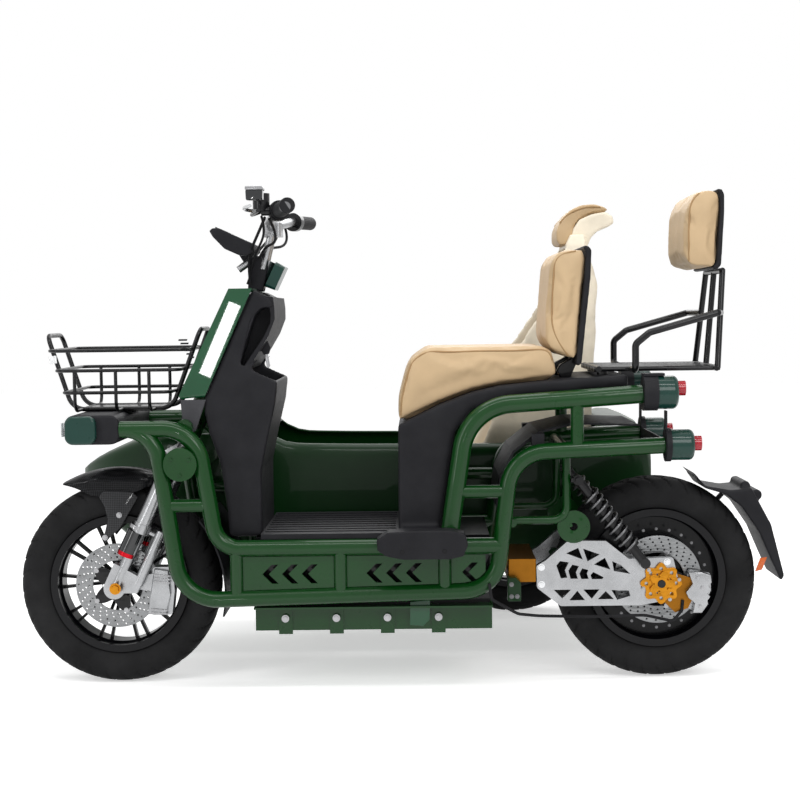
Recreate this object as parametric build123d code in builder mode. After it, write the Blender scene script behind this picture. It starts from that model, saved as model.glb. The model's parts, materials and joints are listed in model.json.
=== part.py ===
from build123d import *
import math
import os

# Electric tricycle: a scooter with an open tube frame and a sidecar on its right.
# Millimetres. The front faces -X, the left side -Y, the sidecar lies on the +Y side, +Z is up.
# Heights run from the ground. Lengths along X run from the middle of the wheel base until export.

# Driving sizes
wheel_base = 1280
tyre_dia = 480
tyre_width = 110
rim_dia = 330
rake_angle = 25.5
frame_y = 200
running_gap = 0.3
overrun = 5
sheet = 3
wall = 4

axle_z = tyre_dia / 2
front_x = -wheel_base / 2
rear_x = wheel_base / 2

pieces = []


def side_plane(y):
    return Plane.XZ.offset(-y)


def cross_plane(x):
    return Plane.YZ.offset(x)


def finish(piece, label):
    piece.part.label = label
    pieces.append(piece.part)


# Shares (x, z) of a length and a height become points from a start corner.
def placed(shares, start, length, height):
    return [(start[0] + x * length, start[1] + z * height) for x, z in shares]


def bent_tube(points, bends, dia, mode=Mode.ADD):
    with BuildLine() as path:
        FilletPolyline(*points, radius=bends)
    with BuildSketch(Plane(origin=path.line @ 0, z_dir=path.line % 0)) as section:
        Circle(dia / 2)
    sweep(sections=section.sketch, path=path.line, mode=mode)


def rod(start, end, dia, bore=0, mode=Mode.ADD):
    run = Vector(*end) - Vector(*start)
    with BuildSketch(Plane(origin=start, z_dir=run)) as section:
        Circle(dia / 2)
        if bore:
            Circle(bore / 2, mode=Mode.SUBTRACT)
    extrude(section.sketch, amount=run.length, mode=mode)


# A closed outline in the side view, rounded at its corners, from one Y to another
def side_slab(points, y_from, y_to, corner=0, mode=Mode.ADD):
    with BuildSketch(side_plane(y_from)) as section:
        with BuildLine():
            Polyline(*points, close=True)
        make_face()
        if corner:
            fillet(section.vertices(), corner)
    extrude(section.sketch, amount=y_from - y_to, mode=mode)


def block(x_range, y_range, z_range, corner=0, mode=Mode.ADD):
    with BuildSketch(Plane.XY.offset(z_range[0])) as section:
        with Locations(((x_range[0] + x_range[1]) / 2, (y_range[0] + y_range[1]) / 2)):
            if corner:
                RectangleRounded(x_range[1] - x_range[0], y_range[1] - y_range[0], corner)
            else:
                Rectangle(x_range[1] - x_range[0], y_range[1] - y_range[0])
    extrude(section.sketch, amount=z_range[1] - z_range[0], mode=mode)


# Two Y values in rising order, for the left side or the right
def spread(side, inner, outer):
    return sorted((side * inner, side * outer))


# Side frames: three tube loops a side, joined by short struts
tube_dia = 38
rear_tube_dia = 42
strut_dia = 30
upper_rail_z = 621
upper_start_x = -600
upper_bend_x = -428
upper_foot_x = -384
step_rail_z = 345
step_rail_end_x = 264
lower_bend_x = -523
lower_foot_x = -467
lower_rail_z = 226
lower_rail_end_z = 243
lower_rail_end_x = 251
rear_rise_x = 290
rear_rail_z = 556
tail_rail_z = 570
tail_x = 636
tail_top_z = 687
tail_top_x = 586
hoop_foot_x = 143
hoop_corner_x = 192
hoop_corner_z = 662
upper_bend = 90
upper_foot_bend = 62
lower_bend = 80
lower_foot_bend = 95
lower_end_bend = 82
rear_rise_bend = 90
hoop_bend = 120
gusset_dia = 76
gusset_thick = 10
gusset_x = -462
gusset_z = 541
front_strut_z = 445
post_xs = [-341, -103, 135]
rear_strut_z = 469
rear_post_x = 439


def side_frame(side):
    y = side * frame_y
    with BuildPart() as frame:
        upper = [(upper_start_x, y, upper_rail_z), (upper_bend_x, y, upper_rail_z),
                 (upper_foot_x, y, step_rail_z), (step_rail_end_x, y, step_rail_z)]
        bent_tube(upper, [upper_bend, upper_foot_bend], tube_dia)
        lower = [(upper_start_x, y, upper_rail_z), (lower_bend_x, y, upper_rail_z),
                 (lower_foot_x, y, lower_rail_z), (lower_rail_end_x, y, lower_rail_end_z),
                 (rear_rise_x, y, rear_rail_z), (tail_x, y, tail_rail_z)]
        bent_tube(lower, [lower_bend, lower_foot_bend, lower_end_bend, rear_rise_bend], tube_dia - 2 * running_gap)
        hoop = [(hoop_foot_x, y, step_rail_z), (hoop_corner_x, y, hoop_corner_z),
                (tail_top_x, y, tail_top_z)]
        bent_tube(hoop, [hoop_bend], rear_tube_dia)
        rod((lower_foot_x - tube_dia / 2, y, front_strut_z), (upper_foot_x - tube_dia / 2, y, front_strut_z), strut_dia)
        for post_x in post_xs:
            rod((post_x, y, lower_rail_z + tube_dia / 4), (post_x, y, step_rail_z), strut_dia)
        rod((hoop_corner_x - tube_dia / 2, y, rear_strut_z), (rear_rise_x - tube_dia / 2, y, rear_strut_z), strut_dia)
        rod((rear_post_x, y, rear_rail_z + tube_dia / 4), (rear_post_x, y, tail_top_z - tube_dia / 4), strut_dia)
        with BuildSketch(side_plane(y)) as gusset:
            with Locations((gusset_x, gusset_z)):
                Circle(gusset_dia / 2)
        extrude(gusset.sketch, amount=tube_dia / 2 + gusset_thick / 2, both=True)
    return frame


for side, label in ((-1, "frame_left"), (1, "frame_right")):
    finish(side_frame(side), label)

# Cross members between the side frames, shortened by the tubes that they are welded to
cross_dia = 28
weld_gap = 0.3
frame_inner_y = frame_y - tube_dia / 2 - weld_gap
sub_y = 132
sub_dia = 19
sub_low_z = 393
sub_start_x = 292
sub_corner_x = 420
sub_bend = 32
with BuildPart() as subframe:
    for side in (-1, 1):
        y = side * sub_y
        bent_tube([(sub_start_x, y, sub_low_z), (sub_corner_x, y, sub_low_z), (sub_corner_x, y, rear_rail_z)],
                  [sub_bend], sub_dia)
        rod((sub_start_x, y, sub_low_z), (sub_start_x, side * frame_inner_y, sub_low_z), sub_dia)
        with BuildSketch(side_plane(y)) as gusset:
            with Locations((sub_corner_x + sub_bend / 2, sub_low_z - sub_bend / 2)):
                Circle(gusset_dia / 2)
                Circle(gusset_dia / 8, mode=Mode.SUBTRACT)
        extrude(gusset.sketch, amount=gusset_thick / 2, both=True)
    rod((sub_corner_x, -frame_inner_y, rear_rail_z), (sub_corner_x, frame_inner_y, rear_rail_z), cross_dia)
finish(subframe, "subframe")

# Wheels: three alike in tyre size, each turning on its own axle
rim_width = 96
rim_flange = 5
bead_dia = 306
well_depth = 10
hub_dia = 70
hub_width = 90
axle_dia = 15
spoke_pairs = 10
spoke_width = 7
spoke_depth = 14
spoke_spread = 5.5
tread_crown = 11
disc_thick = 4
disc_hole_dia = 7
disc_hole_count = 14
disc_inner_dia = 96
front_disc_dia = 200
front_disc_y = -68
rear_disc_dia = 208
rear_disc_y = -70
motor_dia = 212
motor_width = 86
motor_bolt_ring = 137
motor_bolt_dia = 12
sidecar_wheel_x = 345
sidecar_wheel_y = 816


def wheel_plane(x, y):
    return Plane(origin=(x, y, axle_z), x_dir=(1, 0, 0), z_dir=(0, -1, 0))


def wheel_section(x, y):
    return Plane(origin=(x, y, axle_z), x_dir=(0, 1, 0), z_dir=(1, 0, 0))


def wheel_axis(x, y):
    return Axis((x, y, axle_z), (0, 1, 0))


def tyre(x, y):
    half = tyre_width / 2
    bead = rim_width / 2 - rim_flange - running_gap
    inner = bead_dia / 2 + running_gap
    outer = tyre_dia / 2
    wide = inner + (outer - inner) * 0.45
    shoulder = (half * 0.74, outer - tread_crown)
    with BuildPart() as body:
        with BuildSketch(wheel_section(x, y)):
            with BuildLine():
                Polyline((-shoulder[0], shoulder[1]), (-half, wide), (-bead, rim_dia / 2), (-bead, inner),
                         (bead, inner), (bead, rim_dia / 2), (half, wide), shoulder)
                ThreePointArc(shoulder, (0, outer), (-shoulder[0], shoulder[1]))
            make_face()
        revolve(axis=wheel_axis(x, y))
    return body


def rim_barrel(x, y):
    half = rim_width / 2
    seat = bead_dia / 2
    well = seat - well_depth
    lip = rim_dia / 2
    with BuildSketch(wheel_section(x, y)) as section:
        with BuildLine():
            Polyline((-half, lip), (-half + rim_flange, lip), (-half + rim_flange, seat),
                     (half - rim_flange, seat), (half - rim_flange, lip), (half, lip),
                     (half, seat - rim_flange), (half * 0.6, seat - rim_flange), (half * 0.45, well),
                     (-half * 0.45, well), (-half * 0.6, seat - rim_flange), (-half, seat - rim_flange),
                     close=True)
        make_face()
    revolve(section.sketch, axis=wheel_axis(x, y))


def axle_bore(x, y):
    rod((x, y - rim_width, axle_z), (x, y + rim_width, axle_z), axle_dia + 2 * running_gap, mode=Mode.SUBTRACT)


def spoked_rim(x, y):
    inner = hub_dia / 2 - rim_flange
    outer = bead_dia / 2 - well_depth + rim_flange / 2
    with BuildPart() as body:
        rim_barrel(x, y)
        with BuildSketch(wheel_plane(x, y)) as hub:
            Circle(hub_dia / 2)
        extrude(hub.sketch, amount=hub_width / 2, both=True)
        for index in range(spoke_pairs):
            for lean in (-spoke_spread, spoke_spread):
                with BuildSketch(wheel_plane(x, y)) as spoke:
                    with PolarLocations((inner + outer) / 2, 1, start_angle=index * 360 / spoke_pairs + lean):
                        Rectangle(outer - inner, spoke_width)
                extrude(spoke.sketch, amount=spoke_depth / 2, both=True)
        axle_bore(x, y)
    return body


# A brake disc is a drilled ring on an open carrier with five windows.
# Drilled disc on a round carrier whose boss reaches back to the hub
def brake_disc(x, y, dia, hub_reach):
    boss_dia = hub_dia * 0.8
    with BuildPart() as body:
        with BuildSketch(wheel_plane(x, y)) as section:
            Circle(dia / 2)
            Circle(axle_dia, mode=Mode.SUBTRACT)
            for share, turn in ((0.84, 0), (0.66, 13)):
                with PolarLocations(dia / 2 * share, disc_hole_count, start_angle=turn):
                    Circle(disc_hole_dia / 2, mode=Mode.SUBTRACT)
            with PolarLocations(disc_inner_dia / 2 * 0.76, 5):
                Circle(motor_bolt_dia / 2, mode=Mode.SUBTRACT)
        extrude(section.sketch, amount=disc_thick / 2, both=True)
        with BuildSketch(wheel_plane(x, y)) as boss:
            Circle(boss_dia / 2)
            Circle(axle_dia, mode=Mode.SUBTRACT)
        extrude(boss.sketch, amount=y + hub_reach + running_gap)
    return body


finish(tyre(front_x, 0), "front_tyre")
finish(spoked_rim(front_x, 0), "front_rim")
finish(brake_disc(front_x, front_disc_y, front_disc_dia, hub_width / 2), "front_disc")
finish(tyre(sidecar_wheel_x, sidecar_wheel_y), "sidecar_tyre")
finish(spoked_rim(sidecar_wheel_x, sidecar_wheel_y), "sidecar_rim")
finish(tyre(rear_x, 0), "rear_tyre")

with BuildPart() as rear_hub:
    rim_barrel(rear_x, 0)
    with BuildSketch(wheel_plane(rear_x, 0)) as motor:
        Circle(motor_dia / 2)
    extrude(motor.sketch, amount=motor_width / 2, both=True)
    with BuildSketch(wheel_plane(rear_x, 0)) as web:
        Circle(bead_dia / 2 - well_depth + rim_flange / 2)
        Circle(motor_dia / 2 - rim_flange, mode=Mode.SUBTRACT)
    extrude(web.sketch, amount=spoke_depth / 2, both=True)
    with BuildSketch(Plane(origin=(rear_x, -motor_width / 2, axle_z), x_dir=(1, 0, 0), z_dir=(0, -1, 0))) as bolts:
        with PolarLocations(motor_bolt_ring / 2, 8):
            Circle(motor_bolt_dia / 2)
    extrude(bolts.sketch, amount=motor_bolt_dia / 4)
    axle_bore(rear_x, 0)
finish(rear_hub, "rear_hub_motor")
finish(brake_disc(rear_x, rear_disc_y, rear_disc_dia, motor_width / 2), "rear_disc")

# Steering: the legs and bars turn on a raked axis that passes through the front axle
rake = math.radians(rake_angle)
lean = (math.sin(rake), math.cos(rake))


# A point at a height on the steering axis, moved sideways, and ahead square to the axis
def on_axis(height, y=0, ahead=0):
    reach = (height - axle_z) / lean[1]
    return (front_x + reach * lean[0] - ahead * lean[1], y, axle_z + reach * lean[1] + ahead * lean[0])


leg_y = 104
leg_dia = 40
collar_dia = 44
slider_dia = 28
leg_top_z = 548
leg_foot_z = 372
crown_z = 552
crown_thick = 22
stem_dia = 30
stem_top_z = 966
head_dia = 52
head_low_z = 578
head_top_z = 690
lug_thick = 22
lug_dia = 50
damper_back = 45
damper_dia = 25
damper_low_z = 268
damper_high_z = 392
axle_nut_dia = 26
axle_nut_thick = 10
with BuildPart() as fork:
    for side in (-1, 1):
        y = side * leg_y
        rod(on_axis(leg_foot_z, y), on_axis(leg_top_z, y), leg_dia)
        rod(on_axis(leg_foot_z, y), on_axis(leg_foot_z + leg_dia / 2, y), collar_dia)
        rod(on_axis(axle_z, y), on_axis(leg_foot_z + leg_dia / 2, y), slider_dia)
        with BuildSketch(side_plane(y)) as lug:
            with Locations((front_x, axle_z)):
                Circle(lug_dia / 2)
            with BuildLine():
                foot = on_axis(axle_z, 0, -lug_dia / 2)
                Polyline((foot[0], foot[2]), on_axis(axle_z, 0, lug_dia / 2)[::2],
                         on_axis(axle_z + lug_dia, 0, lug_dia / 2)[::2],
                         on_axis(damper_low_z + lug_dia / 3, 0, -damper_back - damper_dia / 3)[::2],
                         on_axis(damper_low_z - lug_dia / 3, 0, -damper_back - damper_dia / 3)[::2], close=True)
            make_face()
        extrude(lug.sketch, amount=lug_thick / 2, both=True)
        rod(on_axis(damper_low_z, y, -damper_back), on_axis(damper_high_z, y, -damper_back), damper_dia)
        rod(on_axis(damper_high_z - damper_dia / 2, y, -damper_back), on_axis(damper_high_z - damper_dia / 2, y),
            damper_dia / 2)
        rod((front_x, side * (leg_y + lug_thick / 2), axle_z),
            (front_x, side * (leg_y + lug_thick / 2 + axle_nut_thick), axle_z), axle_nut_dia)
    crown_plane = Plane(origin=on_axis(crown_z), x_dir=(0, 1, 0), z_dir=(lean[0], 0, lean[1]))
    with BuildSketch(crown_plane) as crown:
        SlotCenterToCenter(2 * leg_y, collar_dia + leg_dia / 4)
        Circle(head_dia / 2 + sheet)
    extrude(crown.sketch, amount=-crown_thick)
    rod(on_axis(crown_z - crown_thick / 2), on_axis(stem_top_z), stem_dia)
    rod((front_x, -leg_y, axle_z), (front_x, leg_y, axle_z), axle_dia)
finish(fork, "fork")

with BuildPart() as headstock:
    rod(on_axis(head_low_z), on_axis(head_top_z), head_dia)
    head_x = on_axis(upper_rail_z)[0]
    rod((head_x, -frame_inner_y, upper_rail_z), (head_x, frame_inner_y, upper_rail_z), tube_dia)
    rod(on_axis(head_low_z - overrun), on_axis(head_top_z + overrun), stem_dia + 2 * running_gap, mode=Mode.SUBTRACT)
finish(headstock, "headstock")

# Handlebar: a column sleeve on the stem, a twin riser, and a swept bar
bar_dia = 22
bar_half = 345
bar_z = 1112
bar_tip_x = -198
bar_centre_x = -262
bar_centre_z = 1078
bar_knee_y = 84
bar_knee_z = 1092
bar_outer_y = 200
bar_outer_x = -232
bar_outer_z = 1108
column_dia = 44
column_low_z = 950
riser_y = 20
riser_dia = 18
riser_low_z = 985
clamp_half_x = 22
clamp_half_y = 38
clamp_half_z = 16
grip_dia = 34
grip_length = 112
switch_dia = 46
switch_length = 24


def bar_route(side):
    return [(bar_centre_x, 0, bar_centre_z), (bar_centre_x, side * bar_knee_y, bar_knee_z),
            (bar_outer_x, side * bar_outer_y, bar_outer_z), (bar_tip_x, side * bar_half, bar_z)]


bar_bends = [bar_knee_y / 3, bar_knee_y / 2]
with BuildPart() as handlebar:
    rod(on_axis(column_low_z), on_axis(riser_low_z + column_dia / 2), column_dia)
    rod(on_axis(column_low_z - overrun), on_axis(stem_top_z + running_gap), stem_dia + 2 * running_gap, mode=Mode.SUBTRACT)
    for side in (-1, 1):
        rod(on_axis(riser_low_z, side * riser_y), (bar_centre_x, side * riser_y, bar_centre_z), riser_dia)
        bent_tube(bar_route(side), bar_bends, bar_dia)
    block((bar_centre_x - clamp_half_x, bar_centre_x + clamp_half_x), (-clamp_half_y, clamp_half_y),
          (bar_centre_z - clamp_half_z, bar_centre_z + clamp_half_z), clamp_half_z / 2)
finish(handlebar, "handlebar")


# A point along the straight end of the bar, counted inward from its tip, with an offset ahead and up
def on_bar(side, inward, ahead=0, up=0):
    tip = Vector(bar_tip_x, side * bar_half, bar_z)
    run = (Vector(bar_outer_x, side * bar_outer_y, bar_outer_z) - tip).normalized()
    spot = tip + run * inward
    return (spot.X - ahead, spot.Y, spot.Z + up)


sleeve_bore = bar_dia + 2 * running_gap
grip_flange_dia = 42
with BuildPart() as grips:
    for side in (-1, 1):
        rod(on_bar(side, -sheet), on_bar(side, grip_length), grip_dia)
        rod(on_bar(side, grip_length), on_bar(side, grip_length + sheet), grip_flange_dia)
        rod(on_bar(side, running_gap), on_bar(side, grip_length + overrun), sleeve_bore, mode=Mode.SUBTRACT)
        rod(on_bar(side, -running_gap), on_bar(side, overrun), sleeve_bore, mode=Mode.SUBTRACT)
finish(grips, "grips")

lever_reach = 62
lever_dia = 9
cup_dia = 38
cup_height = 24
with BuildPart() as controls:
    for side in (-1, 1):
        inner = grip_length + 2 * sheet
        rod(on_bar(side, inner), on_bar(side, inner + switch_length), switch_dia)
        rod(on_bar(side, inner + cup_dia / 3, cup_dia, 0), on_bar(side, inner + cup_dia / 3, 0, 0), cup_dia / 2)
        rod(on_bar(side, inner + cup_dia / 2, cup_dia, 0), on_bar(side, inner + cup_dia / 2, cup_dia, cup_height + clamp_half_z),
            cup_dia)
        rod(on_bar(side, inner + cup_dia / 2, cup_dia, 0), on_bar(side, inner + cup_dia / 2, 0, 0), cup_dia / 2)
        lever = [on_bar(side, inner + cup_dia / 2, cup_dia, 0), on_bar(side, inner, lever_reach, -lever_dia),
                 on_bar(side, lever_dia, lever_reach, -lever_dia)]
        bent_tube(lever, [lever_dia], lever_dia)
        bent_tube(bar_route(side), bar_bends, sleeve_bore, mode=Mode.SUBTRACT)
finish(controls, "brake_levers_and_switches")

display_length = 112
display_half_y = 78
display_start = (-418, 1010)
display_height = 78
display_shares = [(0, 0.78), (0.1, 1), (1, 0.34), (1, 0.08), (0.52, 0)]
display_corner = 5
with BuildPart() as display:
    side_slab(placed(display_shares, display_start, display_length, display_height), -display_half_y, display_half_y,
              display_corner)
    stalk_top = (display_start[0] + display_length * 0.75, 0, display_start[1] + display_height * 0.25)
    rod(stalk_top, on_axis(riser_low_z - column_dia / 4, 0, column_dia / 2 + riser_dia * 0.36), riser_dia)
finish(display, "display")

light_box_x = (-268, -243)
light_box_z = (950, 1014)
light_box_half_y = 46
with BuildPart() as column_box:
    box_plane = Plane(origin=on_axis(column_low_z + 2 * clamp_half_z, 0, -column_dia / 2 - running_gap),
                      x_dir=(0, 1, 0), z_dir=(lean[1], 0, -lean[0]))
    with BuildSketch(box_plane) as face:
        RectangleRounded(2 * light_box_half_y, light_box_z[1] - light_box_z[0], clamp_half_z / 2)
    extrude(face.sketch, amount=light_box_x[1] - light_box_x[0], taper=display_corner)
finish(column_box, "column_box")

# Front mudguard on the fork: a curved blade with a side skirt that is bolted to each leg
guard_gap = 30
guard_thick = 4
guard_half_y = 66
guard_front_angle = 118
guard_back_angle = 73
skirt_shares = [(0, 0.92), (0.98, 1), (0.9, 0.4), (0.34, 0), (0.02, 0.12)]
skirt_start = (-698, 322)
skirt_length = 106
skirt_height = 172
arch_inner = tyre_dia / 2 + guard_gap
arch_outer = arch_inner + guard_thick


def polar(x, radius, angle, z=axle_z):
    return (x + radius * math.cos(math.radians(angle)), z + radius * math.sin(math.radians(angle)))


# A curved blade concentric with a wheel, between two angles counted from the rear horizontal
def arch(x, inner, outer, angles, y_from, y_to):
    start, end = angles
    middle = (start + end) / 2
    with BuildSketch(side_plane(y_from)) as section:
        with BuildLine():
            ThreePointArc(polar(x, outer, start), polar(x, outer, middle), polar(x, outer, end))
            Line(polar(x, outer, end), polar(x, inner, end))
            ThreePointArc(polar(x, inner, end), polar(x, inner, middle), polar(x, inner, start))
            Line(polar(x, inner, start), polar(x, outer, start))
        make_face()
    extrude(section.sketch, amount=y_from - y_to)


skirt_y = leg_y - leg_dia / 2 - running_gap
with BuildPart() as front_guard:
    arch(front_x, arch_inner, arch_outer, (guard_back_angle, guard_front_angle), -guard_half_y, guard_half_y)
    for side in (-1, 1):
        low, high = spread(side, guard_half_y - guard_thick, guard_half_y)
        arch(front_x, arch_inner - guard_gap, arch_outer, (guard_back_angle, guard_front_angle), low, high)
        side_slab(placed(skirt_shares, skirt_start, skirt_length, skirt_height), low, high)
        # stay from the skirt to the leg
        stay_z = skirt_start[1] + skirt_height * 0.6
        rod(on_axis(stay_z, side * (guard_half_y - guard_thick)), on_axis(stay_z, side * skirt_y), slider_dia / 2)
finish(front_guard, "front_mudguard")


# A brake caliper straddles its disc, with a slot that leaves the disc free
def caliper(points, wheel_x, disc_y, disc_dia, half_y, corner):
    with BuildPart() as body:
        side_slab(points, disc_y - half_y, disc_y + half_y, corner)
        with BuildSketch(side_plane(disc_y)) as slot:
            with Locations((wheel_x, axle_z)):
                Circle(disc_dia / 2 + disc_thick)
        extrude(slot.sketch, amount=disc_thick / 2 + sheet, both=True, mode=Mode.SUBTRACT)
    return body


caliper_half_y = 20
caliper_length = 58
caliper_height = 114
caliper_corner = 8
front_caliper_shares = [(0.12, 1), (0.95, 1), (1, 0.5), (0.88, 0), (0, 0), (0.06, 0.5)]
front_caliper_start = (-560, 172)
front_caliper = caliper(placed(front_caliper_shares, front_caliper_start, caliper_length, caliper_height),
                        front_x, front_disc_y, front_disc_dia, caliper_half_y, caliper_corner)
bracket_reach_shares = [(-0.75, 0.8), (0.3, 0.88), (0.3, 0.5), (-0.6, 0.55)]
with BuildPart() as held_caliper:
    add(front_caliper.part)
    side_slab(placed(bracket_reach_shares, front_caliper_start, caliper_length, caliper_height),
              -leg_y + damper_dia / 2 + running_gap, front_disc_y - caliper_half_y + sheet)
finish(held_caliper, "front_caliper")

# Lamp bar across the front, between the side frames
lamp_front_x = -722
lamp_low_z = 588
lamp_high_z = 655
lamp_corner = 18
lamp_half_y = 218
cap_thick = 16
cap_front_x = -720
cap_back_x = -650
cap_margin = 3
lens_thick = 13
lamp_back_x = upper_start_x - running_gap
with BuildPart() as lamp_housing:
    block((lamp_front_x, lamp_back_x), (-lamp_half_y, lamp_half_y), (lamp_low_z, lamp_high_z))
    fillet(lamp_housing.edges().filter_by(Axis.Y), lamp_corner)
finish(lamp_housing, "front_lamp_housing")
with BuildPart() as lamp_caps:
    for side in (-1, 1):
        with BuildSketch(side_plane(side * (lamp_half_y + running_gap))) as cap:
            with Locations(((cap_front_x + cap_back_x) / 2, (lamp_low_z + lamp_high_z) / 2)):
                RectangleRounded(cap_back_x - cap_front_x, lamp_high_z - lamp_low_z - cap_margin, lamp_corner)
        extrude(cap.sketch, amount=-side * cap_thick)
    outer_rims = lamp_caps.faces().filter_by(Axis.Y).sort_by(Axis.Y)
    fillet(outer_rims[0].edges() + outer_rims[-1].edges(), cap_thick / 3)
finish(lamp_caps, "front_lamp_caps")
with BuildPart() as lamp_lens:
    block((lamp_front_x - running_gap - lens_thick, lamp_front_x - running_gap),
          (-lamp_half_y + lamp_corner, lamp_half_y - lamp_corner),
          (lamp_low_z + lamp_corner, lamp_high_z - lamp_corner), lens_thick / 4)
finish(lamp_lens, "front_lamp_lens")

# Leg shield: a black moulding behind the column with an open niche, a glove pocket below it
# and a foot that runs down beside the upper loop to the floor
shield_half_y = 150
shield_start = (-414, 364.5)
shield_length = 170
shield_height = 571.5
shield_rear_shares = [(0.68, 1), (0.95, 0.957), (0.994, 0.832), (0.88, 0.75), (0.62, 0.68), (1, 0.63), (0.965, 0.54),
                      (0.85, 0.4), (0.76, 0.27), (0.76, 0)]
shield_front_shares = [(0.3, 0), (0.28, 0.12), (0.2, 0.3), (0.06, 0.42), (0.0, 0.5), (0.0, 0.56)]
shield_corner = 9
shield_edge = 14
room_half_y = 62
room_half_x = 40
niche_shares = [(0.66, 0.88), (0.8, 0.925), (1.1, 0.925), (1.1, 0.76), (0.72, 0.716), (0.5, 0.69)]
pocket_shares = [(0.46, 0.75), (0.93, 0.75), (0.93, 0.54), (0.8, 0.4), (0.46, 0.4)]


# Free room round the steering column, closed ahead and behind
def steering_room(low, high, ahead, behind, half_y):
    side_slab([(on_axis(low)[0] - ahead, low), (on_axis(low)[0] + behind, low),
               (on_axis(high)[0] + behind, high), (on_axis(high)[0] - ahead, high)],
              -half_y, half_y, mode=Mode.SUBTRACT)


with BuildPart() as leg_shield:
    side_slab(placed(shield_rear_shares + shield_front_shares, shield_start, shield_length, shield_height),
              -shield_half_y, shield_half_y, shield_corner)
    steering_room(head_low_z - column_dia, stem_top_z + column_dia, 3 * room_half_x, room_half_x, room_half_y)
    side_slab(placed(pocket_shares, shield_start, shield_length, shield_height),
              -shield_half_y + 2 * wall, shield_half_y - 2 * wall, shield_corner, mode=Mode.SUBTRACT)
    side_slab(placed(niche_shares, shield_start, shield_length, shield_height),
              -shield_half_y - overrun, shield_half_y + overrun, mode=Mode.SUBTRACT)
finish(leg_shield, "leg_shield")

# The green panel is a thin shell, open to the column behind it and below.
panel_half_y = 158
panel_start = (-476, 684)
panel_length = 168
panel_height = 254
panel_top_share = 0.74


# Front line of the leg shield, which the panel's rear edge follows
def shield_face_x(z):
    (low_x, low_z), (high_x, high_z) = placed([shield_front_shares[-1], shield_rear_shares[0]], shield_start,
                                              shield_length, shield_height)
    return low_x + (high_x - low_x) * (z - low_z) / (high_z - low_z) - 1.5 * running_gap


panel_outline = [panel_start, (shield_face_x(panel_start[1] + 2 * sheet), panel_start[1] + 2 * sheet),
                 (shield_face_x(panel_start[1] + panel_height), panel_start[1] + panel_height),
                 (panel_start[0] + panel_top_share * panel_length, panel_start[1] + panel_height)]
panel_edge = 16
louvre_count = 6
louvre_dia = 6
louvre_half_y = 60
louvre_low_share = 0.28
louvre_high_share = 0.5
with BuildPart() as shield_panel:
    side_slab(panel_outline, -panel_half_y, panel_half_y)
    front_edges = shield_panel.faces().sort_by(Axis.X)[0].edges()
    fillet(front_edges, panel_edge / 2)
    front_low, rear_low, rear_high, front_high = panel_outline
    side_slab([(front_low[0] + wall, front_low[1] - 2 * wall), (rear_low[0] + 2 * overrun, rear_low[1] - 2 * wall),
               (rear_high[0] + overrun, rear_high[1] - 2 * wall), (front_high[0] + wall, front_high[1] - 2 * wall)],
              -panel_half_y + wall, panel_half_y - wall, mode=Mode.SUBTRACT)
    steering_room(panel_start[1] - overrun, panel_start[1] + panel_height + overrun, 0.75 * room_half_x, room_half_x,
                  0.6 * room_half_y)
    for index in range(louvre_count):
        share = louvre_low_share + (louvre_high_share - louvre_low_share) * index / (louvre_count - 1)
        x = panel_start[0] + panel_top_share * panel_length * share + wall / 2
        z = panel_start[1] + panel_height * share
        rod((x, -louvre_half_y, z), (x, louvre_half_y, z), louvre_dia)
finish(shield_panel, "leg_shield_panel")

# Lock barrel, fob and blade on the rider's side of the leg shield
key_x = -314
key_z = 806
barrel_dia = 20
barrel_length = 9
fob_length = 26
fob_dia = 22
blade_width = 9
blade_length = 32
key_y = -95
with BuildPart() as key:
    lock_x = key_x
    rod((lock_x, key_y, key_z), (lock_x + barrel_length, key_y, key_z), barrel_dia)
    block((lock_x + barrel_length, lock_x + barrel_length + fob_length), (key_y - sheet, key_y + sheet),
          (key_z - fob_dia, key_z + fob_dia / 4))
    block((lock_x + barrel_length + fob_length - blade_width - sheet, lock_x + barrel_length + fob_length - sheet),
          (key_y - sheet / 3, key_y + sheet / 3), (key_z - fob_dia - blade_length, key_z - fob_dia))
finish(key, "ignition_key")

# Curved inner liner behind the front wheel, outside the sphere that the turning wheel sweeps
liner_gap = 28
liner_angles = (-12, 38)
liner_half_y = frame_y - tube_dia / 2 - running_gap
with BuildPart() as front_liner:
    liner_r = tyre_dia / 2 + liner_gap
    arch(front_x, liner_r, liner_r + wall, liner_angles, -liner_half_y, liner_half_y)
finish(front_liner, "front_liner")

# Floor with grip ribs, on the upper loops' step rails
floor_thick = 12
floor_half_y = 196
floor_rear_x = 30
rib_count = 9
rib_height = 2
rib_width = 7
floor_low_z = step_rail_z + tube_dia / 2 + running_gap
floor_front_x = shield_start[0] + 0.76 * shield_length + running_gap
with BuildPart() as floorboard:
    block((floor_front_x, floor_rear_x), (-floor_half_y, floor_half_y), (floor_low_z, floor_low_z + floor_thick))
    for index in range(rib_count):
        y = (index - (rib_count - 1) / 2) * 2 * floor_half_y / (rib_count + 1)
        block((floor_front_x + rib_width, floor_rear_x - rib_width), (y - rib_width / 2, y + rib_width / 2),
              (floor_low_z + floor_thick, floor_low_z + floor_thick + rib_height))
finish(floorboard, "floorboard")

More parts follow.
